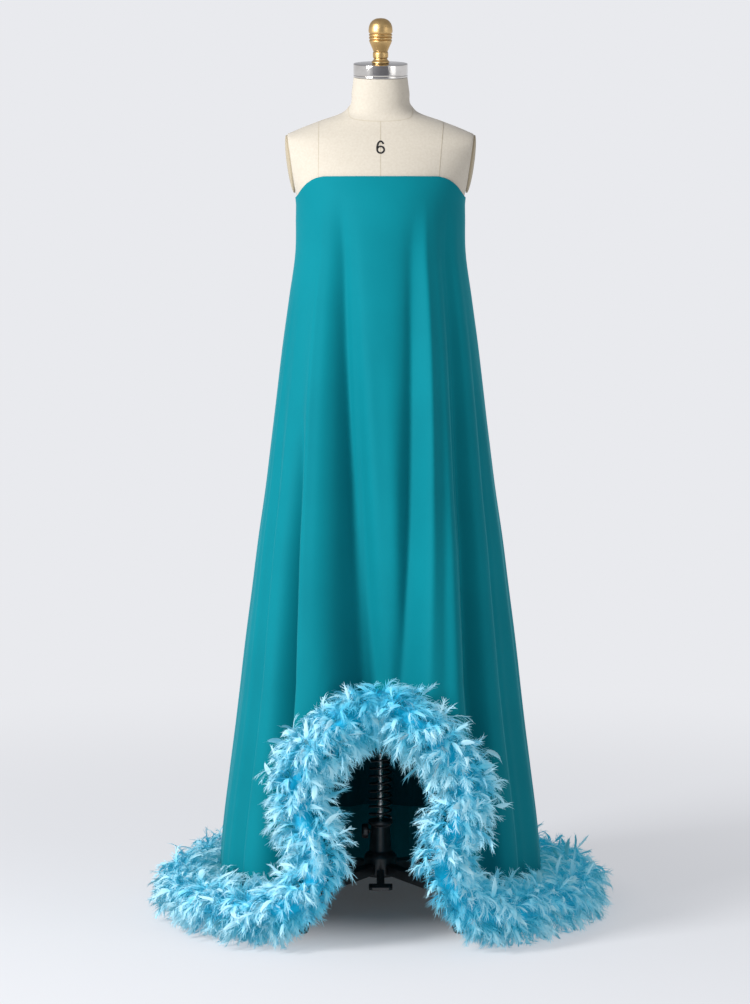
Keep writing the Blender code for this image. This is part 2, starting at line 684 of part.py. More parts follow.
def leg(name, side, front):
    """Bar from the hub to the boss over a caster, level under the boss."""
    reach = math.hypot(CASTER_X, CASTER_Y)
    boss = FORK_TOP + SEAT
    start = HUB_RADIUS + SEAT
    knee = reach - BOSS_RADIUS
    turn = np.radians(np.linspace(-90.0, 90.0, 9))
    end = [(reach + BOSS_RADIUS * math.cos(a), BOSS_RADIUS * math.sin(a)) for a in turn]
    outline = [(start, -LEG_HALF_WIDTH), (knee, -LEG_HALF_WIDTH), *end, (knee, LEG_HALF_WIDTH),
               (start, LEG_HALF_WIDTH)]
    count = len(outline)
    ahead = np.array([side * CASTER_X, front * CASTER_Y]) / reach
    cross = np.array([-ahead[1], ahead[0]])
    points = []
    for lift in (0.0, LEG_THICKNESS):
        for along, offset in outline:
            rise = LEG_RISE * max(0.0, (knee - along) / (knee - start))
            points.append((*(ahead * along + cross * offset), boss + rise + lift))
    bar = (0, 1, count - 2, count - 1)
    pad = tuple(range(1, count - 1))
    faces = [bar, pad, tuple(i + count for i in bar), tuple(i + count for i in pad)]
    faces += [(i, (i + 1) % count, (i + 1) % count + count, i + count) for i in range(count)]
    new_object(name, points, faces, "black_iron")


def caster(name, side, front, heading):
    """Fork that swivels under a leg's boss, and the wheel that rolls in it."""
    swivel = Matrix.Translation((side * CASTER_X, front * CASTER_Y, 0.0))
    place = swivel @ Matrix.Rotation(math.radians(heading), 4, "Z")
    inner = FORK_GAP / 2
    outer = inner + FORK_CHEEK
    foot = WHEEL_RADIUS - FORK_FOOT
    crown = FORK_TOP - FORK_CROWN
    section = [(-outer, foot), (-inner, foot), (-inner, crown), (inner, crown), (inner, foot), (outer, foot),
               (outer, FORK_TOP), (-outer, FORK_TOP)]
    points = []
    for edge in (-FORK_LENGTH / 2, FORK_LENGTH / 2):
        for across, height in section:
            back = CASTER_TRAIL * (FORK_LEG_BACK if height < crown else FORK_CROWN_BACK)
            points.append((edge + back, across, height))
    count = len(section)
    faces = [(0, 1, 2, 7), (2, 3, 6, 7), (3, 4, 5, 6)]
    faces += [tuple(i + count for i in face) for face in faces]
    faces += [(i, (i + 1) % count, (i + 1) % count + count, i + count) for i in range(count)]
    fork = new_object(f"fork_{name}", points, faces, "black_iron")
    fork.matrix_world = place
    half = WHEEL_WIDTH / 2
    hub = inner - SEAT
    profile = ((0.0040, -hub), (0.0080, -half - 0.0008), (WHEEL_RADIUS - 0.0085, -half),
               (WHEEL_RADIUS - 0.0020, -half), (WHEEL_RADIUS, -half + 0.0020))
    full = profile + tuple((radius, -height) for radius, height in reversed(profile))
    flat_down = 1.0 / math.cos(math.pi / WHEEL_SIDES)
    full = tuple((radius * flat_down, height) for radius, height in full)
    axle = Matrix.Translation((CASTER_TRAIL, 0.0, WHEEL_RADIUS)) @ Matrix.Rotation(math.radians(90.0), 4, "X")
    turned(f"wheel_{name}", full, "black_rubber", WHEEL_SIDES, place=place @ axle)


def base():
    """Four legs, each with its caster."""
    for name, (side, front, heading) in CASTERS.items():
        leg(f"leg_{name}", side, front)
        caster(name, side, front, heading)


def pedal():
    """Flat release pedal that reaches forwards from the hub."""
    outline = [(-PEDAL_STEM_HALF, -PEDAL_BACK), (-PEDAL_STEM_HALF, -PEDAL_NECK), (-PEDAL_PAD_HALF, -PEDAL_NECK),
               (-PEDAL_PAD_HALF, -PEDAL_FRONT + PEDAL_CORNER), (-PEDAL_PAD_HALF + PEDAL_CORNER, -PEDAL_FRONT),
               (PEDAL_PAD_HALF - PEDAL_CORNER, -PEDAL_FRONT), (PEDAL_PAD_HALF, -PEDAL_FRONT + PEDAL_CORNER),
               (PEDAL_PAD_HALF, -PEDAL_NECK), (PEDAL_STEM_HALF, -PEDAL_NECK), (PEDAL_STEM_HALF, -PEDAL_BACK)]
    count = len(outline)
    low = PEDAL_Z - PEDAL_THICKNESS / 2
    points = [(x, y, low + lift) for lift in (0.0, PEDAL_THICKNESS) for x, y in outline]
    stem = (0, 1, 8, 9)
    pad = (1, 2, 3, 4, 5, 6, 7, 8)
    faces = [stem, pad, tuple(i + count for i in stem), tuple(i + count for i in pad)]
    faces += [(i, (i + 1) % count, (i + 1) % count + count, i + count) for i in range(count)]
    new_object("release_pedal", points, faces, "black_iron")


def knob():
    """Hand knob on the clamp screw at the column's side."""
    (low_radius, low), (high_radius, high) = COLUMN_PROFILE[4:6]
    face = float(np.interp(KNOB_Z, (low, high), (low_radius, high_radius))) + SEAT
    stub = face + KNOB_STUB
    end = stub + KNOB_LENGTH
    profile = ((KNOB_STUB_RADIUS, face), (KNOB_STUB_RADIUS, stub), (KNOB_RADIUS - KNOB_EDGE, stub),
               (KNOB_RADIUS, stub + KNOB_EDGE), (KNOB_RADIUS, end - KNOB_EDGE), (KNOB_RADIUS - KNOB_DISH, end))
    place = Matrix.Translation((0.0, 0.0, KNOB_Z)) @ Matrix.Rotation(math.radians(-90.0), 4, "Y")
    turned("clamp_knob", profile, "black_iron", 12, place=place)


def stand_on_origin():
    """Moves the whole part so that the bottom centre of its box is the origin."""
    bpy.context.view_layer.update()
    points = np.concatenate([
        np.array([piece.matrix_world @ v.co for v in piece.data.vertices])
        for piece in bpy.context.scene.objects
    ])
    low = points.min(axis=0)
    high = points.max(axis=0)
    shift = Matrix.Translation((-(low[0] + high[0]) / 2, -(low[1] + high[1]) / 2, -low[2]))
    for piece in bpy.context.scene.objects:
        piece.matrix_world = shift @ piece.matrix_world
    print("pole axis at", [round(float(v), 6) for v in shift.translation])


def main():
    for old in list(bpy.data.objects):
        bpy.data.objects.remove(old, do_unlink=True)
    dress()
    boa()
    dress_form()
    neck_hardware()
    upright()
    base()
    pedal()
    knob()
    stand_on_origin()


main()
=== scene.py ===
import math

import bmesh
import bpy
import numpy as np
from mathutils import Matrix, Vector


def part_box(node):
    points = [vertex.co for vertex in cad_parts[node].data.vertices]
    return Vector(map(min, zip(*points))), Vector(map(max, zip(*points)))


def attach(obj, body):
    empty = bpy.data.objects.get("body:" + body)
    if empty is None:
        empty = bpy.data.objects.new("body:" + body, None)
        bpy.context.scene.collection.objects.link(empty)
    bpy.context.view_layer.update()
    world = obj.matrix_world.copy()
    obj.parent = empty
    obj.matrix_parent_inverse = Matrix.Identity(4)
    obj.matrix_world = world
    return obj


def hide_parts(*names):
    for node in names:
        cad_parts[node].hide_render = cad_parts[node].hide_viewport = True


bl_info = {
    "name": "Evening dress on a dress form",
    "version": (1, 0, 0),
    "blender": (4, 5, 0),
    "location": "View3D > Sidebar > Gown",
    "description": "Strapless evening dress with a feather boa hem, its dress form and its caster stand",
    "category": "Add Mesh",
}

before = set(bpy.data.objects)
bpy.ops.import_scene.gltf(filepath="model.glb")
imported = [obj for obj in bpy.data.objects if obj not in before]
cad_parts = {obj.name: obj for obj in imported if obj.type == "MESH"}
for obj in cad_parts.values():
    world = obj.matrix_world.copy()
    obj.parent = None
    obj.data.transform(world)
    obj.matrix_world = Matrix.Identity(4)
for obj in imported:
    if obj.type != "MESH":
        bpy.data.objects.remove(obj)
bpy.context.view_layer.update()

# The pole's axis, about which every shape below is worked out.
POLE = (np.array(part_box("pole")[0]) + np.array(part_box("pole")[1])) / 2
POLE[2] = 0.0

# Power of the rounded oval sections, and the gap between pieces that meet.
OVAL = 0.94
SEAT = 0.0003

# Dress form: height, half_width, front, back.
FORM_SECTIONS = np.array([
    (0.700, 0.148, 0.096, 0.114),
    (0.718, 0.164, 0.106, 0.130),
    (0.800, 0.176, 0.112, 0.138),
    (0.900, 0.166, 0.106, 0.125),
    (1.000, 0.136, 0.094, 0.098),
    (1.050, 0.128, 0.092, 0.092),
    (1.120, 0.136, 0.100, 0.095),
    (1.200, 0.1460, 0.118, 0.101),
    (1.260, 0.1478, 0.125, 0.105),
    (1.300, 0.1496, 0.1210, 0.108),
    (1.336, 0.1620, 0.1085, 0.112),
    (1.375, 0.1760, 0.0900, 0.112),
    (1.405, 0.1800, 0.0730, 0.100),
    (1.420, 0.1490, 0.0640, 0.086),
    (1.436, 0.1080, 0.0560, 0.072),
    (1.450, 0.0690, 0.0510, 0.060),
    (1.462, 0.0560, 0.0500, 0.054),
    (1.488, 0.0515, 0.0480, 0.050),
    (1.514, 0.0480, 0.0470, 0.048),
])
# Flat cuts at the arms: a plane that leans outwards as it rises.
ARM_CUT_X = 0.1515
ARM_CUT_Z = 1.300
ARM_CUT_SLOPE = 0.135
NECK_PIVOT_Z = 1.430
NECK_LEAN = math.radians(8.0)
# Arm plates: middle and half-sizes in depth and height.
PLATE_Y = 0.006
PLATE_Z = 1.3595
PLATE_HALF_Y = 0.040
PLATE_HALF_Z = 0.0515
NUMERAL_Z = 1.3875

# Dress, outside of the cloth without its folds: height, half_width, front, back.
DRESS_SECTIONS = np.array([
    (0.000, 0.296, 0.284, 0.352),
    (0.060, 0.292, 0.281, 0.326),
    (0.146, 0.285, 0.277, 0.300),
    (0.255, 0.271, 0.269, 0.276),
    (0.342, 0.259, 0.261, 0.259),
    (0.422, 0.249, 0.252, 0.244),
    (0.510, 0.239, 0.240, 0.228),
    (0.597, 0.2285, 0.228, 0.213),
    (0.684, 0.2185, 0.216, 0.198),
    (0.772, 0.2065, 0.203, 0.184),
    (0.859, 0.1965, 0.191, 0.170),
    (0.946, 0.1865, 0.178, 0.157),
    (1.034, 0.1760, 0.164, 0.143),
    (1.121, 0.1640, 0.150, 0.129),
    (1.208, 0.1525, 0.138, 0.1165),
    (1.260, 0.1520, 0.1345, 0.1140),
    (1.300, 0.1528, 0.1275, 0.1135),
    (1.340, 0.1665, 0.1112, 0.1160),
])
# Upper edge: its height in front and at the side, and the angles between which it falls.
TOP_FRONT = 1.336
TOP_SIDE = 1.300
TOP_EASE_START = 34.0
TOP_EASE_END = 84.0
SIDE_SEAM_RADIUS = 0.1528
# Skirt's half-width and half-depth near the hem, from which a point's angle is worked out.
SKIRT_ACROSS = 0.29
SKIRT_DEEP = 0.28
LINING_HEM = 0.146
LINING_TOP = 0.640
LINING_ANGLES = (94.5, 265.5)
LINING_INSET = 0.0023
LINING_WALL = 0.0010

# Hem of the skirt: angle, height.
HEM_ARCH = np.array([
    (0.0, 0.424),
    (8.0, 0.418),
    (14.0, 0.394),
    (18.0, 0.352),
    (20.5, 0.296),
    (22.0, 0.225),
    (23.0, 0.150),
    (25.0, 0.090),
    (29.0, 0.035),
    (34.0, 0.000),
])

# Folds: angle at the top and at the hem, half-width at the top and at the hem, depth at the hem, height where
# each starts, and flatness, 1 for a sharp crest and 4 for a flat one. A negative depth is a trough.
FOLDS = np.array([
    (-42.0, -26.0, 10.0, 10.0, 0.026, 1.290, 2.5),
    (33.0, 25.0, 8.0, 9.5, 0.028, 1.290, 3.0),
    (-28.5, -4.5, 7.0, 12.0, -0.062, 1.300, 1.8),
    (22.0, 9.5, 6.0, 6.5, -0.034, 1.270, 1.6),
    (-10.0, 3.0, 4.0, 4.0, 0.016, 1.050, 2.0),
    (51.0, 41.5, 5.5, 5.0, -0.032, 1.300, 1.5),
    (61.0, 51.0, 4.5, 6.0, 0.010, 1.280, 2.0),
    (73.0, 72.0, 5.0, 6.0, 0.010, 1.000, 2.0),
    (-48.0, -40.0, 3.5, 4.3, -0.044, 0.920, 1.6),
    (-58.0, -50.5, 5.0, 5.0, 0.008, 1.050, 2.0),
    (-66.0, -59.0, 3.0, 3.5, -0.009, 0.950, 1.5),
    (-76.0, -70.0, 6.0, 6.0, 0.009, 1.150, 2.0),
    (-103.0, -104.0, 6.0, 7.0, 0.014, 1.200, 2.0),
    (-116.0, -116.0, 5.0, 5.5, -0.022, 1.180, 1.5),
    (-127.0, -128.0, 7.0, 8.5, 0.022, 1.160, 3.0),
    (-141.0, -142.0, 5.5, 6.0, -0.026, 1.200, 1.5),
    (-153.0, -156.0, 7.0, 8.5, 0.024, 1.200, 3.0),
    (-167.0, -168.0, 5.0, 5.5, -0.020, 1.150, 1.5),
    (104.0, 104.5, 5.5, 6.5, 0.014, 1.160, 2.0),
    (115.0, 116.0, 5.0, 5.5, -0.020, 1.160, 1.5),
    (128.0, 129.0, 7.0, 8.5, 0.024, 1.180, 3.0),
    (141.0, 143.0, 5.0, 6.0, -0.028, 1.200, 1.5),
    (153.0, 156.0, 7.0, 8.0, 0.022, 1.150, 3.0),
    (167.0, 169.0, 5.0, 5.5, -0.018, 1.150, 1.5),
    (180.0, 180.0, 6.0, 7.0, 0.010, 1.100, 2.0),
])
# Height where the folds are full, and the power by which they grow.
FOLD_FULL = 0.45
FOLD_GROWTH = 0.85

# Creases, finer than the folds: angle at the top and at the hem, half-width, depth at the hem, height where
# each starts.
CREASES = np.array([
    (-43.0, -32.0, 2.6, 0.0060, 1.290),
    (-28.0, -10.0, 3.6, -0.0130, 1.290),
    (-19.0, -2.5, 3.2, -0.0070, 1.270),
    (-7.0, 2.5, 4.5, -0.0160, 1.080),
    (-49.0, -38.5, 2.6, -0.0110, 1.000),
    (-60.0, -55.0, 2.2, 0.0040, 1.100),
    (31.0, 16.5, 2.8, 0.0120, 1.290),
    (38.0, 24.0, 3.0, -0.0060, 1.270),
    (18.5, 12.0, 2.4, -0.0028, 1.240),
    (46.0, 35.5, 2.6, -0.0050, 1.280),
    (57.0, 46.5, 2.2, 0.0040, 1.200),
    (67.0, 58.0, 2.0, -0.0040, 1.100),
    (-71.0, -65.0, 2.0, 0.0035, 1.150),
    (-110.0, -110.0, 2.4, 0.0050, 1.150),
    (-133.5, -135.0, 2.6, -0.0055, 1.180),
    (-147.0, -149.0, 2.4, 0.0050, 1.180),
    (-173.0, -174.0, 2.4, 0.0045, 1.100),
    (109.5, 110.0, 2.4, 0.0050, 1.150),
    (134.5, 136.0, 2.6, -0.0055, 1.180),
    (148.0, 150.0, 2.4, 0.0050, 1.160),
    (173.5, 175.0, 2.2, -0.0045, 1.100),
])
# Height over which a crease grows to its full depth.
CREASE_GROWTH = 0.5
# Fine drape: height where it starts, depth of its troughs and of its sag.
DRAPE_TOP = 1.20
DRAPE_DEPTH = 0.0011
DRAPE_SAG = 0.0006

# Boa. Its middle line runs from the front centre to the back centre: angle, height, radius.
BOA_LINE = np.array([
    (0.0, 0.414, 0.041),
    (5.8, 0.408, 0.042),
    (11.2, 0.388, 0.044),
    (17.0, 0.358, 0.046),
    (22.2, 0.318, 0.047),
    (23.9, 0.268, 0.047),
    (21.4, 0.222, 0.047),
    (18.0, 0.182, 0.048),
    (16.8, 0.146, 0.048),
    (18.6, 0.112, 0.048),
    (23.6, 0.080, 0.048),
    (31.5, 0.062, 0.047),
    (42.5, 0.056, 0.047),
    (56.0, 0.052, 0.046),
    (71.0, 0.049, 0.045),
    (89.0, 0.049, 0.045),
    (110.0, 0.049, 0.045),
    (133.0, 0.049, 0.045),
    (157.0, 0.049, 0.045),
    (180.0, 0.049, 0.045),
])
# Row numbers of the line where one stretch ends and the next begins.
BOA_CUTS = (3.8, 8.0, 12.7, 14.6, 16.3, 17.7)
BOA_WALL_GAP = 0.0013
# The folds that the boa clears lie within these angles of its middle line.
COVER_ANGLES = (-11.0, -8.0, -5.5, -3.0, -1.0, 1.0, 3.0, 5.5, 8.0, 11.0)
COVER_SOFTNESS = 0.0022
# Row number of the corner where the boa turns from the arch to the floor.
BOA_CORNER = 8.7
DOWN = np.array((0.0, 0.0, -1.0))
# Ranges of the plumes' seeded draws: the root in radii of the boa, the knee in reaches, how much the free end
# hangs and leans out and how long it is, where the vane starts, its half-widths, and the barbs' lengths.
PLUME_ROOT = (0.05, 0.42)
PLUME_KNEE = (0.74, 1.0)
PLUME_HANG = (0.45, 1.15)
PLUME_LEAN = (0.05, 0.50)
PLUME_FREE = (0.024, 0.044)
VANE_START = (0.42, 0.60)
VANE_BROAD = (0.70, 1.15)
VANE_NARROW = (0.32, 0.62)
BARB_SPAN = (0.65, 1.2)
QUILL_HALF = 0.0005
# Plumes near the floor: least height, what a draw may add to it, how softly they bend, and the height below
# which they do.
FLOOR_LOW = 0.0015
FLOOR_MORE = 0.004
FLOOR_BEND = 0.012
FLOOR_ZONE = 0.05

# Upright and base. A caster's row: its side, front or back, and the heading of its trailing wheel.
COLUMN_TOP = 0.171
POLE_RADIUS = 0.0065
FORM_BOTTOM = 0.700
SPRING_RADIUS = 0.0190
SPRING_WIRE = 0.0024
SPRING_TURNS = 9
SPRING_PITCH = 0.0140
CAP_RADIUS = 0.0485
CAP_HEIGHT = 0.0240
KNOB_Z = 0.150
KNOB_FACE = 0.01792
CASTERS = {
    "front_left": (-1, -1, 262.0),
    "front_right": (1, -1, 284.0),
    "back_left": (-1, 1, 112.0),
    "back_right": (1, 1, 74.0),
}
CASTER_X = 0.135
CASTER_Y = 0.165
CASTER_TRAIL = 0.018
WHEEL_RADIUS = 0.025
WHEEL_WIDTH = 0.018
FORK_HALF = 0.01475
HUB_HALF = 0.01125

# The photograph's frame and the object's middle column in it, in pixels.
FRAME_WIDTH = 750
FRAME_HEIGHT = 1004
OBJECT_COLUMN = 380.5
# Height that the lamps are aimed at, and the long side of the camera's sensor in millimetres.
AIM_HEIGHT = 0.75
SENSOR = 36.0
# Radius of the tiny flat face in the middle of a turned piece's ends.
AXIS = 0.0001


def linear(code):
    """sRGB hex colour as linear red, green and blue."""
    parts = [int(code[k:k + 2], 16) / 255 for k in (1, 3, 5)]
    return tuple(p / 12.92 if p <= 0.04045 else ((p + 0.055) / 1.055) ** 2.4 for p in parts)


def smooth(table, column, at):
    """Cubic curve through a table's rows, with slopes from the neighbouring rows."""
    along = table[:, 0]
    value = table[:, column]
    slope = np.gradient(value, along)
    at = np.clip(np.asarray(at, float), along[0], along[-1])
    row = np.clip(np.searchsorted(along, at) - 1, 0, len(along) - 2)
    span = along[row + 1] - along[row]
    t = (at - along[row]) / span
    start = (2 * t**3 - 3 * t**2 + 1) * value[row] + (t**3 - 2 * t**2 + t) * span * slope[row]
    end = (3 * t**2 - 2 * t**3) * value[row + 1] + (t**3 - t**2) * span * slope[row + 1]
    return start + end


def ease(low, high, at):
    """0 below low, 1 above high, with a soft start and end."""
    t = np.clip((np.asarray(at, float) - low) / (high - low), 0.0, 1.0)
    return t * t * (3 - 2 * t)


def unit(vectors):
    """Each vector scaled to length one."""
    return vectors / np.maximum(np.linalg.norm(vectors, axis=-1, keepdims=True), 1e-9)


def oval(sections, angle, height):
    """Rounded oval section: half_width times sine across, front or back times cosine in depth."""
    across = np.sin(np.radians(angle))
    ahead = np.cos(np.radians(angle))
    depth = np.where(ahead > 0, smooth(sections, 2, height), smooth(sections, 3, height))
    x = smooth(sections, 1, height) * np.sign(across) * np.abs(across) ** OVAL
    y = -depth * np.sign(ahead) * np.abs(ahead) ** OVAL
    return x, y


def outward(sections, angle, height):
    """Level direction square to a section, away from the pole."""
    step = 0.5
    x_low, y_low = oval(sections, angle - step, height)
    x_high, y_high = oval(sections, angle + step, height)
    length = np.hypot(x_high - x_low, y_high - y_low)
    return (y_high - y_low) / length, -(x_high - x_low) / length


def hem_share(height):
    """0 at the upper edge, 1 from where the folds are full down to the hem."""
    return np.clip((TOP_FRONT - height) / (TOP_FRONT - FOLD_FULL), 0.0, 1.0)


def away_from(angle, top_angle, hem_angle, share):
    """Angle away from a line that drifts from one angle at the top to another at the hem."""
    return (angle - top_angle - (hem_angle - top_angle) * share + 180.0) % 360.0 - 180.0


def fold_height(angle, height):
    """Folds: crests exp(-|away / half-width| ** flatness) whose angle drifts from the top to the hem."""
    angle = np.asarray(angle, float)
    height = np.asarray(height, float)
    share = hem_share(height)
    total = np.zeros(np.broadcast(angle, height).shape)
    for top_angle, hem_angle, top_half, hem_half, depth, start, flatness in FOLDS:
        away = away_from(angle, top_angle, hem_angle, share)
        half = top_half + (hem_half - top_half) * share
        crest = np.exp(-((away / half) ** 2 + 0.01) ** (flatness / 2))
        growth = np.clip((start - height) / (start - FOLD_FULL), 0.0, 1.0)
        total = total + depth * growth**FOLD_GROWTH * crest
    return total


def fold_cover(angle, height):
    """Smooth cover of the folds within the boa's reach, on both sides of an angle."""
    near = np.array([fold_height(angle + aside, height) for aside in COVER_ANGLES])
    return np.log(np.sum(np.exp(near / COVER_SOFTNESS), axis=0)) * COVER_SOFTNESS


def ripple(angle, height):
    """Fine drape: long shallow troughs that wander a little, and creases exp(-(away / half-width)**2)."""
    growth = np.clip(DRAPE_TOP - height, 0.0, 1.0)
    turn = np.radians(angle)
    wander = turn + 0.05 * np.sin(2.3 * height + 1.7 * turn)
    waves = 0.55 * np.sin(23 * wander + 0.8) + 0.45 * np.sin(37 * wander + 2.1 * height)
    waves = waves + 0.3 * np.sin(11 * wander)
    sag = DRAPE_SAG * np.sin(9.0 * height + 5 * turn)
    total = growth * (DRAPE_DEPTH * waves + sag)
    share = hem_share(height)
    for top_angle, hem_angle, half, depth, start in CREASES:
        away = away_from(angle, top_angle, hem_angle, share)
        grown = np.clip((start - height) / CREASE_GROWTH, 0.0, 1.0)
        total = total + depth * grown * np.exp(-((away / half) ** 2))
    return total


def top_height(angle):
    """Upper edge: level over the bust, lower under the arms and across the back."""
    return TOP_FRONT - (TOP_FRONT - TOP_SIDE) * ease(TOP_EASE_START, TOP_EASE_END, np.abs(angle))


def hem_height(angle):
    """Lower edge: an arch over the front, on the floor at the sides and the back."""
    return smooth(HEM_ARCH, 1, np.abs(angle)).clip(0.0)


def cloth_point(angle, height, inward):
    """Point of the dress, a distance inside the cloth's outer face."""
    x, y = oval(DRESS_SECTIONS, angle, height)
    nx, ny = outward(DRESS_SECTIONS, angle, height)
    out = fold_height(angle, height) + ripple(angle, height) - inward
    return np.stack([x + nx * out, y + ny * out, np.broadcast_to(height, x.shape)], axis=-1)


def form_point(angle, height, out):
    """Point of the dress form, cut flat at the arms, its neck leaning forwards, a distance off its face."""
    x, y = oval(FORM_SECTIONS, angle, height)
    nx, ny = outward(FORM_SECTIONS, angle, height)
    limit = np.where(height > ARM_CUT_Z, ARM_CUT_X + (height - ARM_CUT_Z) * ARM_CUT_SLOPE, 1.0)
    x = np.clip(x, -limit, limit) + nx * out
    y = y + ny * out
    turn = NECK_LEAN * ease(NECK_PIVOT_Z - 0.02, NECK_PIVOT_Z + 0.04, height)
    rise = height - NECK_PIVOT_Z
    level = y * np.cos(turn) - rise * np.sin(turn)
    up = NECK_PIVOT_Z + y * np.sin(turn) + rise * np.cos(turn)
    return np.stack([x, level, np.broadcast_to(up, x.shape)], axis=-1)


def grid_faces(rows, columns, offset=0, round_columns=False):
    """Quads of a grid of points, numbered row by row. A round grid closes on itself across its columns."""
    index = np.arange(rows * columns).reshape(rows, columns) + offset
    right = np.roll(index, -1, axis=1)
    quads = np.stack([index[:-1], right[:-1], right[1:], index[1:]], axis=-1)
    if not round_columns:
        quads = quads[:, :-1]
    return quads.reshape(-1, 4)


def new_piece(name, points, faces, finish, body="root", sharp=None, tone=None, place=None, normals=None):
    """Finished piece from an array of points and a list of faces, its place in its mesh."""
    points = np.asarray(points, float).reshape(-1, 3)
    if place is not None:
        matrix = np.array(place)
        points = points @ matrix[:3, :3].T + matrix[:3, 3]
    points = points + POLE
    mesh = bpy.data.meshes.new(name)
    mesh.from_pydata(points.tolist(), [], faces.tolist() if isinstance(faces, np.ndarray) else faces)
    if tone is not None:
        layer = mesh.attributes.new("tone", "FLOAT", "POINT")
        layer.data.foreach_set("value", np.asarray(tone, np.float32).reshape(-1))
    mesh.shade_smooth()
    if sharp is not None:
        mesh.set_sharp_from_angle(angle=math.radians(sharp))
    mesh.materials.append(finish)
    mesh.validate()
    if normals is not None:
        mesh.normals_split_custom_set_from_vertices(normals.tolist())
    piece = bpy.data.objects.new(name, mesh)
    bpy.context.scene.collection.objects.link(piece)
    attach(piece, body)
    return piece


def closed_sheet(name, outer, inner, finish):
    """Thin closed wall between two grids of points, its four edges closed by strips."""
    rows, columns = outer.shape[:2]
    count = rows * columns
    face = grid_faces(rows, columns)
    index = np.arange(count).reshape(rows, columns)
    border = np.concatenate([index[0, :-1], index[:-1, -1], index[-1, :0:-1], index[:0:-1, 0]])
    onward = np.roll(border, -1)
    strip = np.stack([onward, border, border + count, onward + count], axis=-1)
    faces = np.concatenate([face[:, ::-1], face + count, strip])
    points = np.concatenate([outer.reshape(-1, 3), inner.reshape(-1, 3)])
    return new_piece(name, points, faces, finish, sharp=50)


def rings_piece(name, rings, finish, body="root", sharp=40, place=None):
    """Closed piece through rings of points, with a flat face on its first and last ring."""
    count, sides = rings.shape[:2]
    faces = grid_faces(count, sides, round_columns=True).tolist()
    faces.append(list(range(sides))[::-1])
    faces.append(list(range((count - 1) * sides, count * sides)))
    return new_piece(name, rings, faces, finish, body, sharp, place=place)


def turned(name, profile, finish, sides, body="root", place=None, lobes=0, lobe_depth=0.0):
    """Solid of revolution: a profile of radius and height about the vertical axis, waved by its lobes."""
    turn = np.radians((np.arange(sides) + 0.5) * 360.0 / sides)
    radius, height = np.array(profile, float).T
    wave = 1.0 + lobe_depth * np.cos(lobes * turn)
    rings = np.stack([
        radius[:, None] * np.cos(turn) * wave,
        radius[:, None] * np.sin(turn) * wave,
        np.broadcast_to(height[:, None], (len(radius), sides)),
    ], axis=-1)
    return rings_piece(name, rings, finish, body, place=place)


def rounded_profile(corners, radius, steps):
    """Profile with rounded corners: a quadratic curve from radius before each corner to radius after it."""
    corners = [np.array(c, float) for c in corners]
    points = [corners[0]]
    for before, corner, after in zip(corners, corners[1:], corners[2:]):
        reach_in = min(radius, 0.45 * np.linalg.norm(corner - before))
        reach_out = min(radius, 0.45 * np.linalg.norm(after - corner))
        start = corner + (before - corner) / np.linalg.norm(before - corner) * reach_in
        end = corner + (after - corner) / np.linalg.norm(after - corner) * reach_out
        for t in np.linspace(0.0, 1.0, steps):
            points.append((1 - t) ** 2 * start + 2 * t * (1 - t) * corner + t**2 * end)
    points.append(corners[-1])
    return np.array(points)


def tube(name, path, radius, finish, sides):
    """Round wire along a path: rings square to the path, turned so that none twists."""
    ahead = unit(np.gradient(path, axis=0))
    side = unit(np.cross(ahead, np.array((0.0, 0.0, 1.0))))
    up = np.cross(side, ahead)
    turn = np.radians(np.arange(sides) * 360.0 / sides)
    ring = side[:, None] * np.cos(turn)[:, None] + up[:, None] * np.sin(turn)[:, None]
    return rings_piece(name, path[:, None] + radius * ring, finish)


def rounded_node(node, finish, width, body="root"):
    """Copy of a frame node with its triangles merged into faces and its edges rounded by a bevel."""
    mesh = bpy.data.objects[node].data.copy()
    shape = bmesh.new()
    shape.from_mesh(mesh)
    bmesh.ops.remove_doubles(shape, verts=shape.verts, dist=1e-5)
    bmesh.ops.dissolve_limit(shape, angle_limit=math.radians(2), verts=shape.verts, edges=shape.edges)
    shape.to_mesh(mesh)
    shape.free()
    mesh.materials.clear()
    mesh.materials.append(finish)
    mesh.shade_smooth()
    mesh.set_sharp_from_angle(angle=math.radians(35))
    piece = bpy.data.objects.new(f"{node}_finished", mesh)
    bpy.context.scene.collection.objects.link(piece)
    bevel = piece.modifiers.new("rounding", "BEVEL")
    bevel.width = width
    bevel.segments = 3
    bevel.limit_method = "ANGLE"
    bevel.angle_limit = math.radians(30)
    bevel.harden_normals = True
    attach(piece, body)
    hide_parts(node)
    return piece


def joined(grids):
    """Points and faces of several grids of points as one mesh."""
    points = []
    faces = []
    offset = 0
    for grid in grids:
        rows, columns = grid.shape[:2]
        faces.append(grid_faces(rows, columns, offset))
        points.append(grid.reshape(-1, 3))
        offset += rows * columns
    return np.concatenate(points), np.concatenate(faces)


def neck_top():
    """Frame at the middle of the neck's upper face, along the leaning neck."""
    pivot = Matrix.Translation((0.0, 0.0, NECK_PIVOT_Z))
    rise = Matrix.Translation((0.0, 0.0, FORM_SECTIONS[-1, 0] - NECK_PIVOT_Z + SEAT))
    return pivot @ Matrix.Rotation(NECK_LEAN, 4, "X") @ rise


def caster_frame(name):
    """Frame on the floor under a caster's swivel, its X along the trailing wheel."""
    side, front, heading = CASTERS[name]
    swivel = Matrix.Translation((side * CASTER_X, front * CASTER_Y, 0.0))
    return swivel @ Matrix.Rotation(math.radians(heading), 4, "Z")


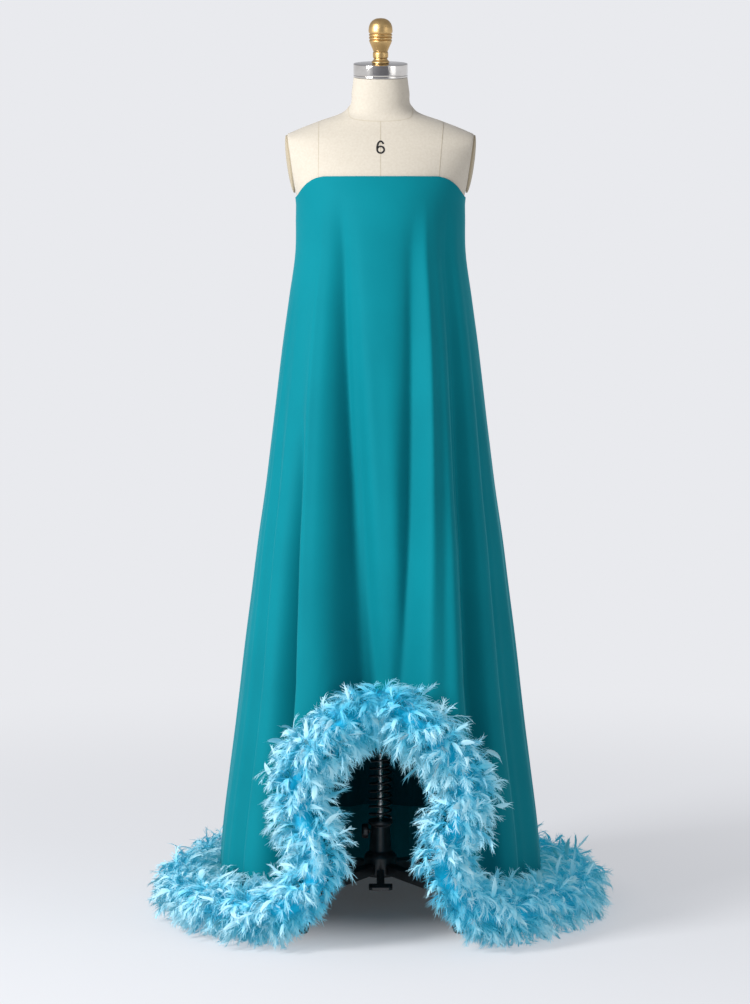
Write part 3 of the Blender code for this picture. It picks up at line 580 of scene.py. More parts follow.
def fill(tree, node, sockets):
    """Fills sockets: a text is a hex colour, a node with its output's name a link, the rest are values."""
    for socket, value in sockets.items():
        if isinstance(value, tuple) and isinstance(value[0], bpy.types.Node):
            tree.links.new(value[0].outputs[value[1]], node.inputs[socket])
        elif isinstance(value, str):
            node.inputs[socket].default_value = (*linear(value), 1.0)
        else:
            node.inputs[socket].default_value = value


def add_node(tree, kind, sockets, stops=(), **settings):
    """Adds one shader node with its settings, values and links, and its stops if it is a colour ramp."""
    node = tree.nodes.new(kind)
    for key, value in settings.items():
        setattr(node, key, value)
    fill(tree, node, sockets)
    for number, (place, code) in enumerate(stops):
        points = node.color_ramp.elements
        point = points[number] if number < len(points) else points.new(place)
        point.position = place
        point.color = (*linear(code), 1.0)
    return node


def new_finish(name, sockets):
    """Material with one Principled shader, with its fixed values on the shader's own sockets."""
    finish = bpy.data.materials.new(name)
    finish.use_nodes = True
    tree = finish.node_tree
    shader = tree.nodes["Principled BSDF"]
    fill(tree, shader, sockets)
    place = add_node(tree, "ShaderNodeTexCoord", {})
    return finish, tree, shader, (place, "Object")


def crepe(name, light, dark):
    """Woven polyester crepe: matt pebbled face from twisted yarns, with a soft sheen along the folds."""
    finish, tree, shader, place = new_finish(name, {
        "Roughness": 0.72, "Sheen Weight": 0.50, "Sheen Roughness": 0.28, "Sheen Tint": "#6FD8E0",
        "Specular IOR Level": 0.05,
    })
    # Slow mottling of the dye, a hand's breadth across.
    mottle = add_node(tree, "ShaderNodeTexNoise", {"Vector": place, "Scale": 5.0, "Detail": 3.0})
    colour = add_node(tree, "ShaderNodeValToRGB", {"Fac": (mottle, "Fac")}, ((0.32, dark), (0.68, light)))
    # Pebbles of the crepe are 0.5 mm across, drawn at 1.6 mm so that they show.
    pebble = add_node(tree, "ShaderNodeTexNoise", {"Vector": place, "Scale": 620.0, "Detail": 2.0})
    dent = add_node(tree, "ShaderNodeBump", {"Strength": 0.10, "Distance": 0.0006, "Height": (pebble, "Fac")})
    fill(tree, shader, {"Base Color": (colour, "Color"), "Normal": (dent, "Normal")})
    return finish


def feather(name, stops):
    """Dyed turkey plume and marabou down: matt barbs, deep dye at the quill and pale tips, and a faint
    painted glow.
    """
    # A faint painted glow stands in for light that soaks through down and comes out bluer: it keeps the gaps
    # between plumes full of colour.
    finish, tree, shader, place = new_finish(name, {
        "Roughness": 0.62, "Sheen Weight": 0.12, "Sheen Roughness": 0.45, "Specular IOR Level": 0.10,
        "Emission Color": "#00E0FF", "Emission Strength": 0.13,
    })
    tone = add_node(tree, "ShaderNodeAttribute", {}, attribute_name="tone")
    # Dye takes unevenly from plume to plume, over 2.6 cm.
    patch = add_node(tree, "ShaderNodeTexNoise", {"Vector": place, "Scale": 38.0, "Detail": 2.0})
    shift = add_node(tree, "ShaderNodeMath", {0: (patch, "Fac"), 1: 0.22, 2: -0.11}, operation="MULTIPLY_ADD")
    total = add_node(tree, "ShaderNodeMath", {0: (tone, "Fac"), 1: (shift, "Value")}, operation="ADD",
                     use_clamp=True)
    colour = add_node(tree, "ShaderNodeValToRGB", {"Fac": (total, "Value")}, stops)
    fill(tree, shader, {"Base Color": (colour, "Color")})
    return finish


def linen(name, light, dark):
    """Unbleached linen canvas: plain weave with slubs, matt."""
    finish, tree, shader, place = new_finish(name, {
        "Roughness": 0.85, "Sheen Weight": 0.15, "Specular IOR Level": 0.2,
    })
    # Threads are 0.6 mm apart, drawn at 1.4 mm so that they show.
    threads = {"Vector": place, "Scale": 225.0, "Distortion": 0.6}
    warp = add_node(tree, "ShaderNodeTexWave", threads, wave_type="BANDS", bands_direction="X")
    weft = add_node(tree, "ShaderNodeTexWave", threads, wave_type="BANDS", bands_direction="Z")
    weave = add_node(tree, "ShaderNodeMath", {0: (warp, "Fac"), 1: (weft, "Fac")}, operation="MULTIPLY")
    # Slubs, where a thread is thicker, are some 4 mm long.
    slub = add_node(tree, "ShaderNodeTexNoise", {"Vector": place, "Scale": 260.0, "Detail": 4.0})
    mixed = add_node(tree, "ShaderNodeMath", {0: (weave, "Value"), 1: 0.25, 2: (slub, "Fac")},
                     operation="MULTIPLY_ADD")
    colour = add_node(tree, "ShaderNodeValToRGB", {"Fac": (mixed, "Value")}, ((0.35, dark), (0.75, light)))
    raised = {"Strength": 0.18, "Distance": 0.0005, "Height": (weave, "Value")}
    dent = add_node(tree, "ShaderNodeBump", raised)
    fill(tree, shader, {"Base Color": (colour, "Color"), "Normal": (dent, "Normal")})
    return finish


def metal(name, light, dark, roughness, grain, scale):
    """Turned and polished metal: fine rings from the lathe, with faint clouding in the finish."""
    finish, tree, shader, place = new_finish(name, {"Roughness": roughness, "Metallic": 1.0})
    cloud = add_node(tree, "ShaderNodeTexNoise", {"Vector": place, "Scale": scale, "Detail": 3.0})
    colour = add_node(tree, "ShaderNodeValToRGB", {"Fac": (cloud, "Fac")}, ((0.35, dark), (0.65, light)))
    rings = add_node(tree, "ShaderNodeTexWave", {"Vector": place, "Scale": grain, "Distortion": 0.3},
                     wave_type="BANDS", bands_direction="Z")
    dent = add_node(tree, "ShaderNodeBump", {"Strength": 0.08, "Distance": 0.0002, "Height": (rings, "Fac")})
    fill(tree, shader, {"Base Color": (colour, "Color"), "Normal": (dent, "Normal")})
    return finish


def enamel(name, light, dark, roughness):
    """Black enamel over cast iron: glossy with a slight orange peel, paler where dust and rubbing dull it."""
    finish, tree, shader, place = new_finish(name, {
        "Roughness": roughness, "Coat Weight": 0.4, "Coat Roughness": 0.25,
    })
    dust = add_node(tree, "ShaderNodeTexNoise", {"Vector": place, "Scale": 60.0, "Detail": 4.0})
    colour = add_node(tree, "ShaderNodeValToRGB", {"Fac": (dust, "Fac")}, ((0.40, dark), (0.72, light)))
    peel = add_node(tree, "ShaderNodeTexNoise", {"Vector": place, "Scale": 420.0, "Detail": 1.0})
    dent = add_node(tree, "ShaderNodeBump", {"Strength": 0.12, "Distance": 0.0005, "Height": (peel, "Fac")})
    fill(tree, shader, {"Base Color": (colour, "Color"), "Normal": (dent, "Normal")})
    return finish


def rubber(name, light, dark):
    """Black moulded rubber: matt, with a fine grain."""
    finish, tree, shader, place = new_finish(name, {"Roughness": 0.62})
    grain = add_node(tree, "ShaderNodeTexNoise", {"Vector": place, "Scale": 300.0, "Detail": 2.0})
    colour = add_node(tree, "ShaderNodeValToRGB", {"Fac": (grain, "Fac")}, ((0.35, dark), (0.70, light)))
    dent = add_node(tree, "ShaderNodeBump", {"Strength": 0.15, "Distance": 0.0004, "Height": (grain, "Fac")})
    fill(tree, shader, {"Base Color": (colour, "Color"), "Normal": (dent, "Normal")})
    return finish


def boa_rows(at):
    """Row numbers of the boa's table from -19 to 19, round and round."""
    last = len(BOA_LINE) - 1.0
    return (np.asarray(at, float) + last) % (2 * last) - last


def boa_value(column, at):
    """A column of the boa's table at a row number, the same on both sides."""
    numbered = np.column_stack([np.arange(len(BOA_LINE), dtype=float), BOA_LINE[:, column]])
    return smooth(numbered, 1, np.abs(boa_rows(at)))


def boa_line(at):
    """Middle line of the boa at a row number of its table, negative on the -X side."""
    angle = np.where(boa_rows(at) < 0, -1.0, 1.0) * boa_value(0, at)
    height = boa_value(1, at)
    x, y = oval(DRESS_SECTIONS, angle, height)
    nx, ny = outward(DRESS_SECTIONS, angle, height)
    out = fold_cover(angle, height) + boa_value(2, at) + BOA_WALL_GAP
    return np.stack([x + nx * out, y + ny * out, height], axis=-1)


def boa_frames(stations):
    """Middle point, direction, direction away from the pole and cross direction at each station."""
    step = 0.02
    centre = boa_line(stations)
    ahead = unit(boa_line(stations + step) - boa_line(stations - step))
    away = unit(centre * (1.0, 1.0, 0.0))
    away = unit(away - ahead * np.sum(away * ahead, axis=-1, keepdims=True))
    return centre, ahead, away, np.cross(ahead, away)


def stretch_length(start, end):
    """Row numbers close together along a stretch, and the real length up to each."""
    fine = np.linspace(start, end, 300)
    steps = np.linalg.norm(np.diff(boa_line(fine), axis=0), axis=1)
    return fine, np.concatenate([[0.0], np.cumsum(steps)])


def outside_cloth(points):
    """Moves points that lie inside the skirt's wall, above its hem, just off its outer face."""
    angle = np.degrees(np.arctan2(points[..., 0] / SKIRT_ACROSS, -points[..., 1] / SKIRT_DEEP))
    height = np.clip(points[..., 2], 0.0, TOP_FRONT)
    x, y = oval(DRESS_SECTIONS, angle, height)
    nx, ny = outward(DRESS_SECTIONS, angle, height)
    clearance = 0.002
    out = fold_height(angle, height) + clearance
    depth = (points[..., 0] - x) * nx + (points[..., 1] - y) * ny - out
    beside_cloth = height > hem_height(angle) + 2 * clearance
    push = np.where((depth < 0) & beside_cloth, np.clip(-depth, 0.0, 0.05), 0.0)
    moved = points.copy()
    moved[..., 0] += nx * push
    moved[..., 1] += ny * push
    return moved


def above_floor(points, rng):
    """Bends points near the floor up so that none reaches it, each to its own small height."""
    low = FLOOR_LOW + FLOOR_MORE * rng.random(points.shape[:1])
    low = low.reshape((-1,) + (1,) * (points.ndim - 2))
    height = points[..., 2]
    lifted = low + FLOOR_BEND * np.log1p(np.exp((height - low) / FLOOR_BEND))
    lifted = np.minimum(lifted, np.maximum(height, low) + FLOOR_MORE)
    moved = points.copy()
    moved[..., 2] = np.where(height < FLOOR_ZONE, lifted, height)
    return moved


class Plumes:
    """Plumes of one stretch of the boa, as arrays with a row for each plume.

    Each rachis leaves the cord, bends over at the boa's surface and hangs along it:
    root * (1 - u)**2 + knee * 2 * u * (1 - u) + tip * u**2, with u from 0 to 1.
    Plumes on the low side are shorter, and most of all where the boa turns in under the skirt's corners.
    The normals lean towards the boa's own outward direction, because light that soaks through down shades it
    softly.
    """

    def __init__(self, start, end, settings, rng):
        fine, length = stretch_length(start, end)
        count = int(length[-1] * settings.plumes_per_metre)
        stations = np.interp(rng.uniform(0.0, length[-1], count), length, fine)
        centre, ahead, away, cross = boa_frames(stations)
        around = rng.uniform(-math.radians(160), math.radians(160), count)
        radial = away * np.cos(around)[:, None] + cross * np.sin(around)[:, None]
        swirl = np.cross(ahead, radial)
        low_side = radial @ DOWN
        core = boa_value(2, stations)
        # The boa is lumpy all along, and a little thinner at the top of the arch, where painted shade darkens
        # its plumes in the recess.
        recess = 0.08 * np.exp(-((stations / 1.8) ** 2))
        lump = 1.0 + 0.08 * np.sin(stations * 5.3 + 1.3) + 0.07 * np.sin(stations * 13.0 + 2.0 * around)
        surface = core * settings.reach * lump * (1.0 - recess)
        root = centre + radial * (core * rng.uniform(*PLUME_ROOT, count))[:, None]
        drift = ahead * rng.normal(0.0, 0.30, (count, 1)) + swirl * rng.normal(0.0, 0.30, (count, 1))
        # Upper plumes rise less, side ones bend upwards first, and low ones are tucked in at the corners.
        lift = 1.0 - 0.75 * (-low_side).clip(0)
        corner = np.exp(-(((np.abs(stations) - BOA_CORNER) / 1.9) ** 4))
        tuck = 1.0 - low_side.clip(0) ** 0.6 * corner
        rise = -0.90 * DOWN * (1.0 - np.abs(low_side))[:, None]
        out = surface * rng.uniform(*PLUME_KNEE, count) * (0.92 + 0.08 * lift) * (0.36 + 0.64 * tuck)
        knee = centre + unit(radial + drift + rise) * out[:, None]
        # Free ends hang down, and on the upper side they lie over towards the skirt. Some cling in clumps.
        hang = DOWN - (radial - 0.6 * away) * np.minimum(low_side, 0.0)[:, None]
        clump = np.sin(stations * 17.0 + 3.0 * around)[:, None]
        heading = hang * rng.uniform(*PLUME_HANG, (count, 1))
        heading = heading + ahead * (rng.normal(0.0, 0.42, (count, 1)) + 0.2 * clump)
        heading = heading + swirl * rng.normal(0.0, 0.42, (count, 1))
        heading = heading + radial * (rng.uniform(*PLUME_LEAN, count) * lift)[:, None]
        free = rng.uniform(*PLUME_FREE, count) * (1.0 - 0.35 * low_side.clip(0)) * (0.3 + 0.7 * tuck)
        tip = knee + unit(heading) * free[:, None]
        loose = unit(rng.normal(0.0, 1.0, (count, 3)))
        late = unit(tip - knee + 0.3 * (knee - root))
        # What the vanes and barbs are made from: the curves' points, their sides and faces, and their shades.
        self.settings = settings
        self.count = count
        self.centre, self.core, self.radial = centre, core, radial
        self.root, self.knee, self.tip = root, knee, tip
        self.side = unit(np.cross(late, radial + 0.55 * loose))
        self.face = unit(np.cross(self.side, late))
        self.broad = rng.random(count) < settings.flats
        # Each plume's tone differs at random, less the painted shade at the top of the arch.
        self.shade = rng.normal(0.0, 0.06, count) - 3.6 * recess

    def rachis(self, u):
        """Points of each rachis."""
        u = u[..., None]
        bend = self.root[:, None] * (1 - u) ** 2 + self.knee[:, None] * 2 * u * (1 - u)
        return bend + self.tip[:, None] * u**2

    def tone(self, points, low, high, along):
        """Tone from low to high, that grows from the quill to the tip, and from the core outwards: painted
        shade, darker deep inside the boa.
        """
        level = (self.count,) + (1,) * (points.ndim - 2)
        far = np.linalg.norm(points - self.centre.reshape(level + (3,)), axis=-1) / self.core.reshape(level)
        outer = np.clip((far - 0.60) / (self.settings.reach - 0.55), 0.0, 1.0)
        return low + (high - low) * (0.55 * outer + 0.45 * along) + self.shade.reshape(level)

    def soft_normal(self, face):
        """Unit direction between a ribbon's own and the boa's outward one."""
        outward_share = self.radial.reshape((self.count,) + (1,) * (face.ndim - 2) + (3,))
        return unit(outward_share * self.settings.softness + face * (1.0 - self.settings.softness))

    def vanes(self, rng):
        """Leaf on each rachis's last part, half-width times v**0.5 * (1 - v)**0.7, and the bare quill."""
        count, side, face = self.count, self.side, self.face
        v = np.array((0.0, 0.12, 0.30, 0.52, 0.74, 0.91, 1.0))
        start_u = rng.uniform(*VANE_START, count)[:, None]
        u = start_u + (1.0 - start_u) * v
        half = np.where(self.broad, rng.uniform(*VANE_BROAD, count), rng.uniform(*VANE_NARROW, count))
        half = half * self.settings.vane_width
        width = half[:, None] * v**0.5 * (1 - v) ** 0.7 * 1.75 + 0.0002
        curl = face[:, None] * (width * rng.uniform(0.05, 0.5, (count, 1)))[..., None]
        twist = (rng.uniform(-0.7, 0.7, (count, 1)) * v)[..., None]
        across = unit(side[:, None] * np.cos(twist) + face[:, None] * np.sin(twist)) * width[..., None]
        middle = self.rachis(u)
        vane = np.stack([middle - across + curl, middle, middle + across + curl], axis=2)
        vane_tone = self.tone(vane, 0.20, 1.0, u[..., None]) + np.array((0.02, -0.04, 0.02))
        normal = self.soft_normal(face)
        vane_normal = np.stack([normal - 0.3 * side, normal, normal + 0.3 * side], axis=1)[:, None]
        quill_u = np.linspace(0.0, 1.0, 3) * start_u
        middle = self.rachis(quill_u)
        across = side[:, None] * QUILL_HALF
        quill = np.stack([middle - across, middle + across], axis=2)
        quill_tone = self.tone(quill, 0.05, 0.8, quill_u[..., None])
        return (vane, vane_tone, unit(vane_normal)), (quill, quill_tone, self.radial[:, None, None])

    def down(self, rng):
        """Barbs on both sides of each rachis, that curve towards its tip and taper to a point."""
        count, side, face = self.count, self.side, self.face
        barbs = self.settings.barbs
        barb_u = np.linspace(0.14, 0.97, barbs) + rng.uniform(-0.015, 0.015, (count, barbs))
        foot_point = self.rachis(barb_u)
        onward = unit(self.rachis(barb_u + 0.02) - foot_point)
        hand = np.where(np.arange(barbs) % 2, 1.0, -1.0)[None, :, None]
        fluff = unit(rng.normal(0.0, 1.0, (count, barbs, 3)))
        open_out = (1.0 - 0.50 * barb_u)[..., None]
        aim = unit(side[:, None] * hand * open_out + onward * (1.45 - open_out) + fluff * 0.32)
        shape = (1.06 - barb_u) ** 0.5 * (0.60 + 0.55 * barb_u)
        span = (self.settings.barb_length * shape * rng.uniform(*BARB_SPAN, (count, barbs)))[..., None]
        stray = unit(rng.normal(0.0, 1.0, (count, barbs, 3)))
        sweep = (onward * 0.40 + DOWN * 0.22 + stray * 0.22) * span
        flat = unit(np.cross(aim, face[:, None] + 0.45 * fluff)) * self.settings.barb_width
        points = []
        for share, thin in ((0.0, 0.9), (0.5, 1.0), (1.0, 0.12)):
            here = foot_point + aim * span * share + sweep * share**2
            points.append(np.stack([here - flat * thin, here + flat * thin], axis=2))
        points = np.stack(points, axis=2)
        along = barb_u[..., None, None] * 0.7 + np.array((0.0, 0.15, 0.3))[:, None]
        tones = self.tone(points, 0.06, 1.0, along)
        normals = self.soft_normal(unit(np.cross(flat, aim)))
        grids = (count * barbs, 3, 2)
        return points.reshape(*grids, 3), tones.reshape(grids), normals.reshape(-1, 1, 1, 3)


def strips(groups, rng):
    """Joins many small grids of points into one mesh: points, quads, tones and normals."""
    all_points = []
    all_faces = []
    all_tones = []
    all_normals = []
    offset = 0
    for points, tones, normals in groups:
        count, rows, columns = points.shape[:3]
        points = above_floor(outside_cloth(points), rng)
        one = grid_faces(rows, columns)
        starts = offset + np.arange(count)[:, None, None] * rows * columns
        all_faces.append((one[None] + starts).reshape(-1, 4))
        all_points.append(points.reshape(-1, 3))
        all_tones.append(np.broadcast_to(tones, points.shape[:3]).reshape(-1))
        all_normals.append(np.broadcast_to(normals, points.shape).reshape(-1, 3))
        offset += count * rows * columns
    return [np.concatenate(parts) for parts in (all_points, all_faces, all_tones, all_normals)]


def hex_colour(name, what, code):
    """Setting for a colour, as an sRGB hex code."""
    return bpy.props.StringProperty(name=name, description=f"sRGB hex of {what}", default=code)


def metres(name, description, default, **limits):
    """Setting for a length."""
    return bpy.props.FloatProperty(name=name, description=description, default=default, unit="LENGTH",
                                   precision=5, **limits)


def whole(name, description, default, low, high):
    """Setting for a count of points or pieces."""
    return bpy.props.IntProperty(name=name, description=description, default=default, min=low, max=high)


def fraction(name, description, default):
    """Setting for a share from 0 to 1."""
    return bpy.props.FloatProperty(name=name, description=description, default=default, subtype="FACTOR",
                                   min=0.0, max=1.0)


class GownCloth(bpy.types.PropertyGroup):
    """Cloth of the dress."""

    wall: metres("Cloth thickness", "Thickness of the dress's cloth", 0.0013, min=0.0005, max=0.002)
    columns: whole("Columns", "Columns of points across the front", 220, 60, 300)
    rows: whole("Rows", "Rows of points from top to hem", 96, 40, 160)
    light: hex_colour("Crepe colour", "the crepe", "#057682")
    dark: hex_colour("Crepe shade", "the crepe's mottling", "#046F7B")
    lining: hex_colour("Lining colour", "the lining", "#034E59")


class GownBoa(bpy.types.PropertyGroup):
    """Feather boa along the hem."""

    plumes_per_metre: whole("Plumes a metre", "Plumes on a metre of boa", 1700, 100, 2000)
    softness: fraction("Softness", "Share of the boa's own shape in the shading", 0.62)
    barbs: whole("Barbs", "Barbs of down on each plume", 24, 6, 40)
    flats: fraction("Share of flats", "Share of the plumes that have a broad tip", 0.26)
    reach: bpy.props.FloatProperty(name="Reach", description="Reach of the plumes, in radii of the boa",
                                   default=1.30, min=1.0, max=1.7)
    vane_width: metres("Vane half-width", "Half-width of a plume's flat tip", 0.0060)
    barb_length: metres("Barb length", "Length of a barb of down", 0.021)
    barb_width: metres("Barb half-width", "Half-width of a barb", 0.00052)
    # The deep colour is also the painted shade deep inside the boa and on its core.
    deep: hex_colour("Deep colour", "the quills", "#0893BE")
    middle: hex_colour("Middle colour", "the down", "#60B8D3")
    pale: hex_colour("Pale colour", "the tips", "#ACCEDA")


class GownForm(bpy.types.PropertyGroup):
    """Dress form under the dress."""

    light: hex_colour("Linen colour", "the linen", "#C0B9AC")
    dark: hex_colour("Linen shade", "the linen's slubs", "#B9B1A3")
    plate: hex_colour("Plate colour", "the arm plates", "#A79B84")
    seam: metres("Seam width", "Width of a seam's line", 0.0011)
    numeral: metres("Numeral height", "Height of the size numeral", 0.0235)


class GownStand(bpy.types.PropertyGroup):
    """Stand and neck hardware."""

    iron: hex_colour("Enamel colour", "the black enamel", "#141416")
    steel: hex_colour("Steel colour", "polished steel", "#D9D6D2")
    brass: hex_colour("Brass colour", "turned brass", "#D2B27C")
    rounding: metres("Edge rounding", "Rounding of cast and pressed edges", 0.0011)


class GownStage(bpy.types.PropertyGroup):
    """Floor, light and camera."""

    backdrop: hex_colour("Backdrop colour", "the walls", "#E9EAEE")
    ceiling: hex_colour("Ceiling colour", "the ceiling", "#A5A6AB")
    glow: bpy.props.FloatProperty(name="Backdrop light", description="Strength of the walls' light",
                                  default=1.0)
    key: bpy.props.FloatProperty(name="Key light", description="Power of the left softbox in watts",
                                 default=250.0)
    fill: bpy.props.FloatProperty(name="Fill light", description="Power of the right softbox in watts",
                                  default=24.0)
    distance: metres("Camera distance", "Level distance from camera to pole", 5.938)
    height: metres("Camera height", "Height of the camera", 1.25)
    tilt: bpy.props.FloatProperty(name="Camera tilt", description="Tilt below the level",
                                  default=math.radians(4.8), subtype="ANGLE")
    focal: bpy.props.FloatProperty(name="Focal pixels", description="Focal length in pixels of the frame",
                                   default=3297.0)


class GOWN_OT_dress(bpy.types.Operator):
    """Makes the front and the two backs of the dress, and the lining that shows inside the back."""

    bl_idname = "gown.dress"
    bl_label = "Dress"

    def execute(self, context):
        settings = context.scene.gown_cloth
        cloth = crepe("polyester crepe, teal", settings.light, settings.dark)
        satin = crepe("acetate lining, dark teal", settings.lining, settings.lining)
        half_gap = math.degrees(0.5 * SEAT / SIDE_SEAM_RADIUS)
        back = settings.columns // 2
        panels = (
            ("dress_front", "front_panel", -90.0, 90.0, settings.columns, (1.10, 1.36), 0.975),
            ("dress_back_right", "back_panel_right", 90.0, 180.0, back, (0.59, 1.34), 0.525),
            ("dress_back_left", "back_panel_left", 180.0, 270.0, back, (0.59, 1.34), 0.525),
        )
        for name, node, first, last, columns, flat, area in panels:
            angles = np.linspace(first + half_gap, last - half_gap, columns)
            share = np.linspace(0.0, 1.0, settings.rows)[:, None]
            top = top_height(angles)
            heights = top - (top - hem_height(angles)) * share
            grid = np.broadcast_to(angles, heights.shape)
            outer = cloth_point(grid, heights, 0.0)
            inner = cloth_point(grid, heights, settings.wall)
            piece = closed_sheet(name, outer, inner, cloth)
            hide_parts(node)
        grid, levels = np.meshgrid(np.linspace(*LINING_ANGLES, 160), np.linspace(LINING_TOP, LINING_HEM, 44))
        outer = cloth_point(grid, levels, LINING_INSET)
        inner = cloth_point(grid, levels, LINING_INSET + LINING_WALL)
        piece = closed_sheet("dress_lining", outer, inner, satin)
        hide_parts("lining_back")
        return {"FINISHED"}


class GOWN_OT_boa(bpy.types.Operator):
    """Makes the feather boa in the stretches of the frame: a core cord in the deepest tone, painted shade
    deep in the boa, with plumes of vane and down.
    """

    bl_idname = "gown.boa"
    bl_label = "Feather boa"

    def execute(self, context):
        settings = context.scene.gown_boa
        stops = ((0.0, settings.deep), (0.45, settings.middle), (0.92, settings.pale))
        finish = feather("dyed marabou and turkey plume, sky blue", stops)
        bounds = BOA_CUTS + (len(BOA_LINE) - 1.0,)
        stretches = [("boa_arch", -BOA_CUTS[0], BOA_CUTS[0])]
        for number, (first, last) in enumerate(zip(bounds, bounds[1:]), 1):
            stretches.append((f"boa_right_{number}", first, last))
            stretches.append((f"boa_left_{number}", -last, -first))
        rng = np.random.default_rng(11)
        for node, first, last in stretches:
            feathers = Plumes(first, last, settings, rng)
            groups = (*feathers.vanes(rng), feathers.down(rng))
            points, faces, tones, normals = strips(groups, rng)
            core_points, core_faces, core_normals = self.core(first, last)
            # The core cord takes the deepest tone of the ramp: painted shade deep inside the boa.
            tones = np.concatenate([tones, np.full(len(core_points), 0.02)])
            faces = np.concatenate([faces, core_faces + len(points)])
            points = np.concatenate([points, core_points])
            normals = np.concatenate([normals, core_normals])
            piece = new_piece(f"{node}_plumes", points, faces, finish, tone=tones, normals=normals)
            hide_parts(node)
        return {"FINISHED"}

    @staticmethod
    def core(first, last):
        """Matted down round the cord: a lumpy tube under the plumes, slimmest in the arch."""
        fine, length = stretch_length(first, last)
        rings = max(8, int(length[-1] / 0.012))
        stations = np.interp(np.linspace(0.0, length[-1], rings), length, fine)
        centre, _, away, cross = boa_frames(stations)
        turn = np.radians(np.arange(16) * 22.5)
        slim = 0.36 - 0.12 * np.exp(-((stations / 2.2) ** 2))
        lumps = 1 + 0.12 * np.sin(5 * turn + 30 * stations[:, None])
        size = (slim * boa_value(2, stations))[:, None] * lumps
        ring = away[:, None] * np.cos(turn)[:, None] + cross[:, None] * np.sin(turn)[:, None]
        points = centre[:, None] + ring * size[..., None]
        return points.reshape(-1, 3), grid_faces(rings, 16, round_columns=True), ring.reshape(-1, 3)


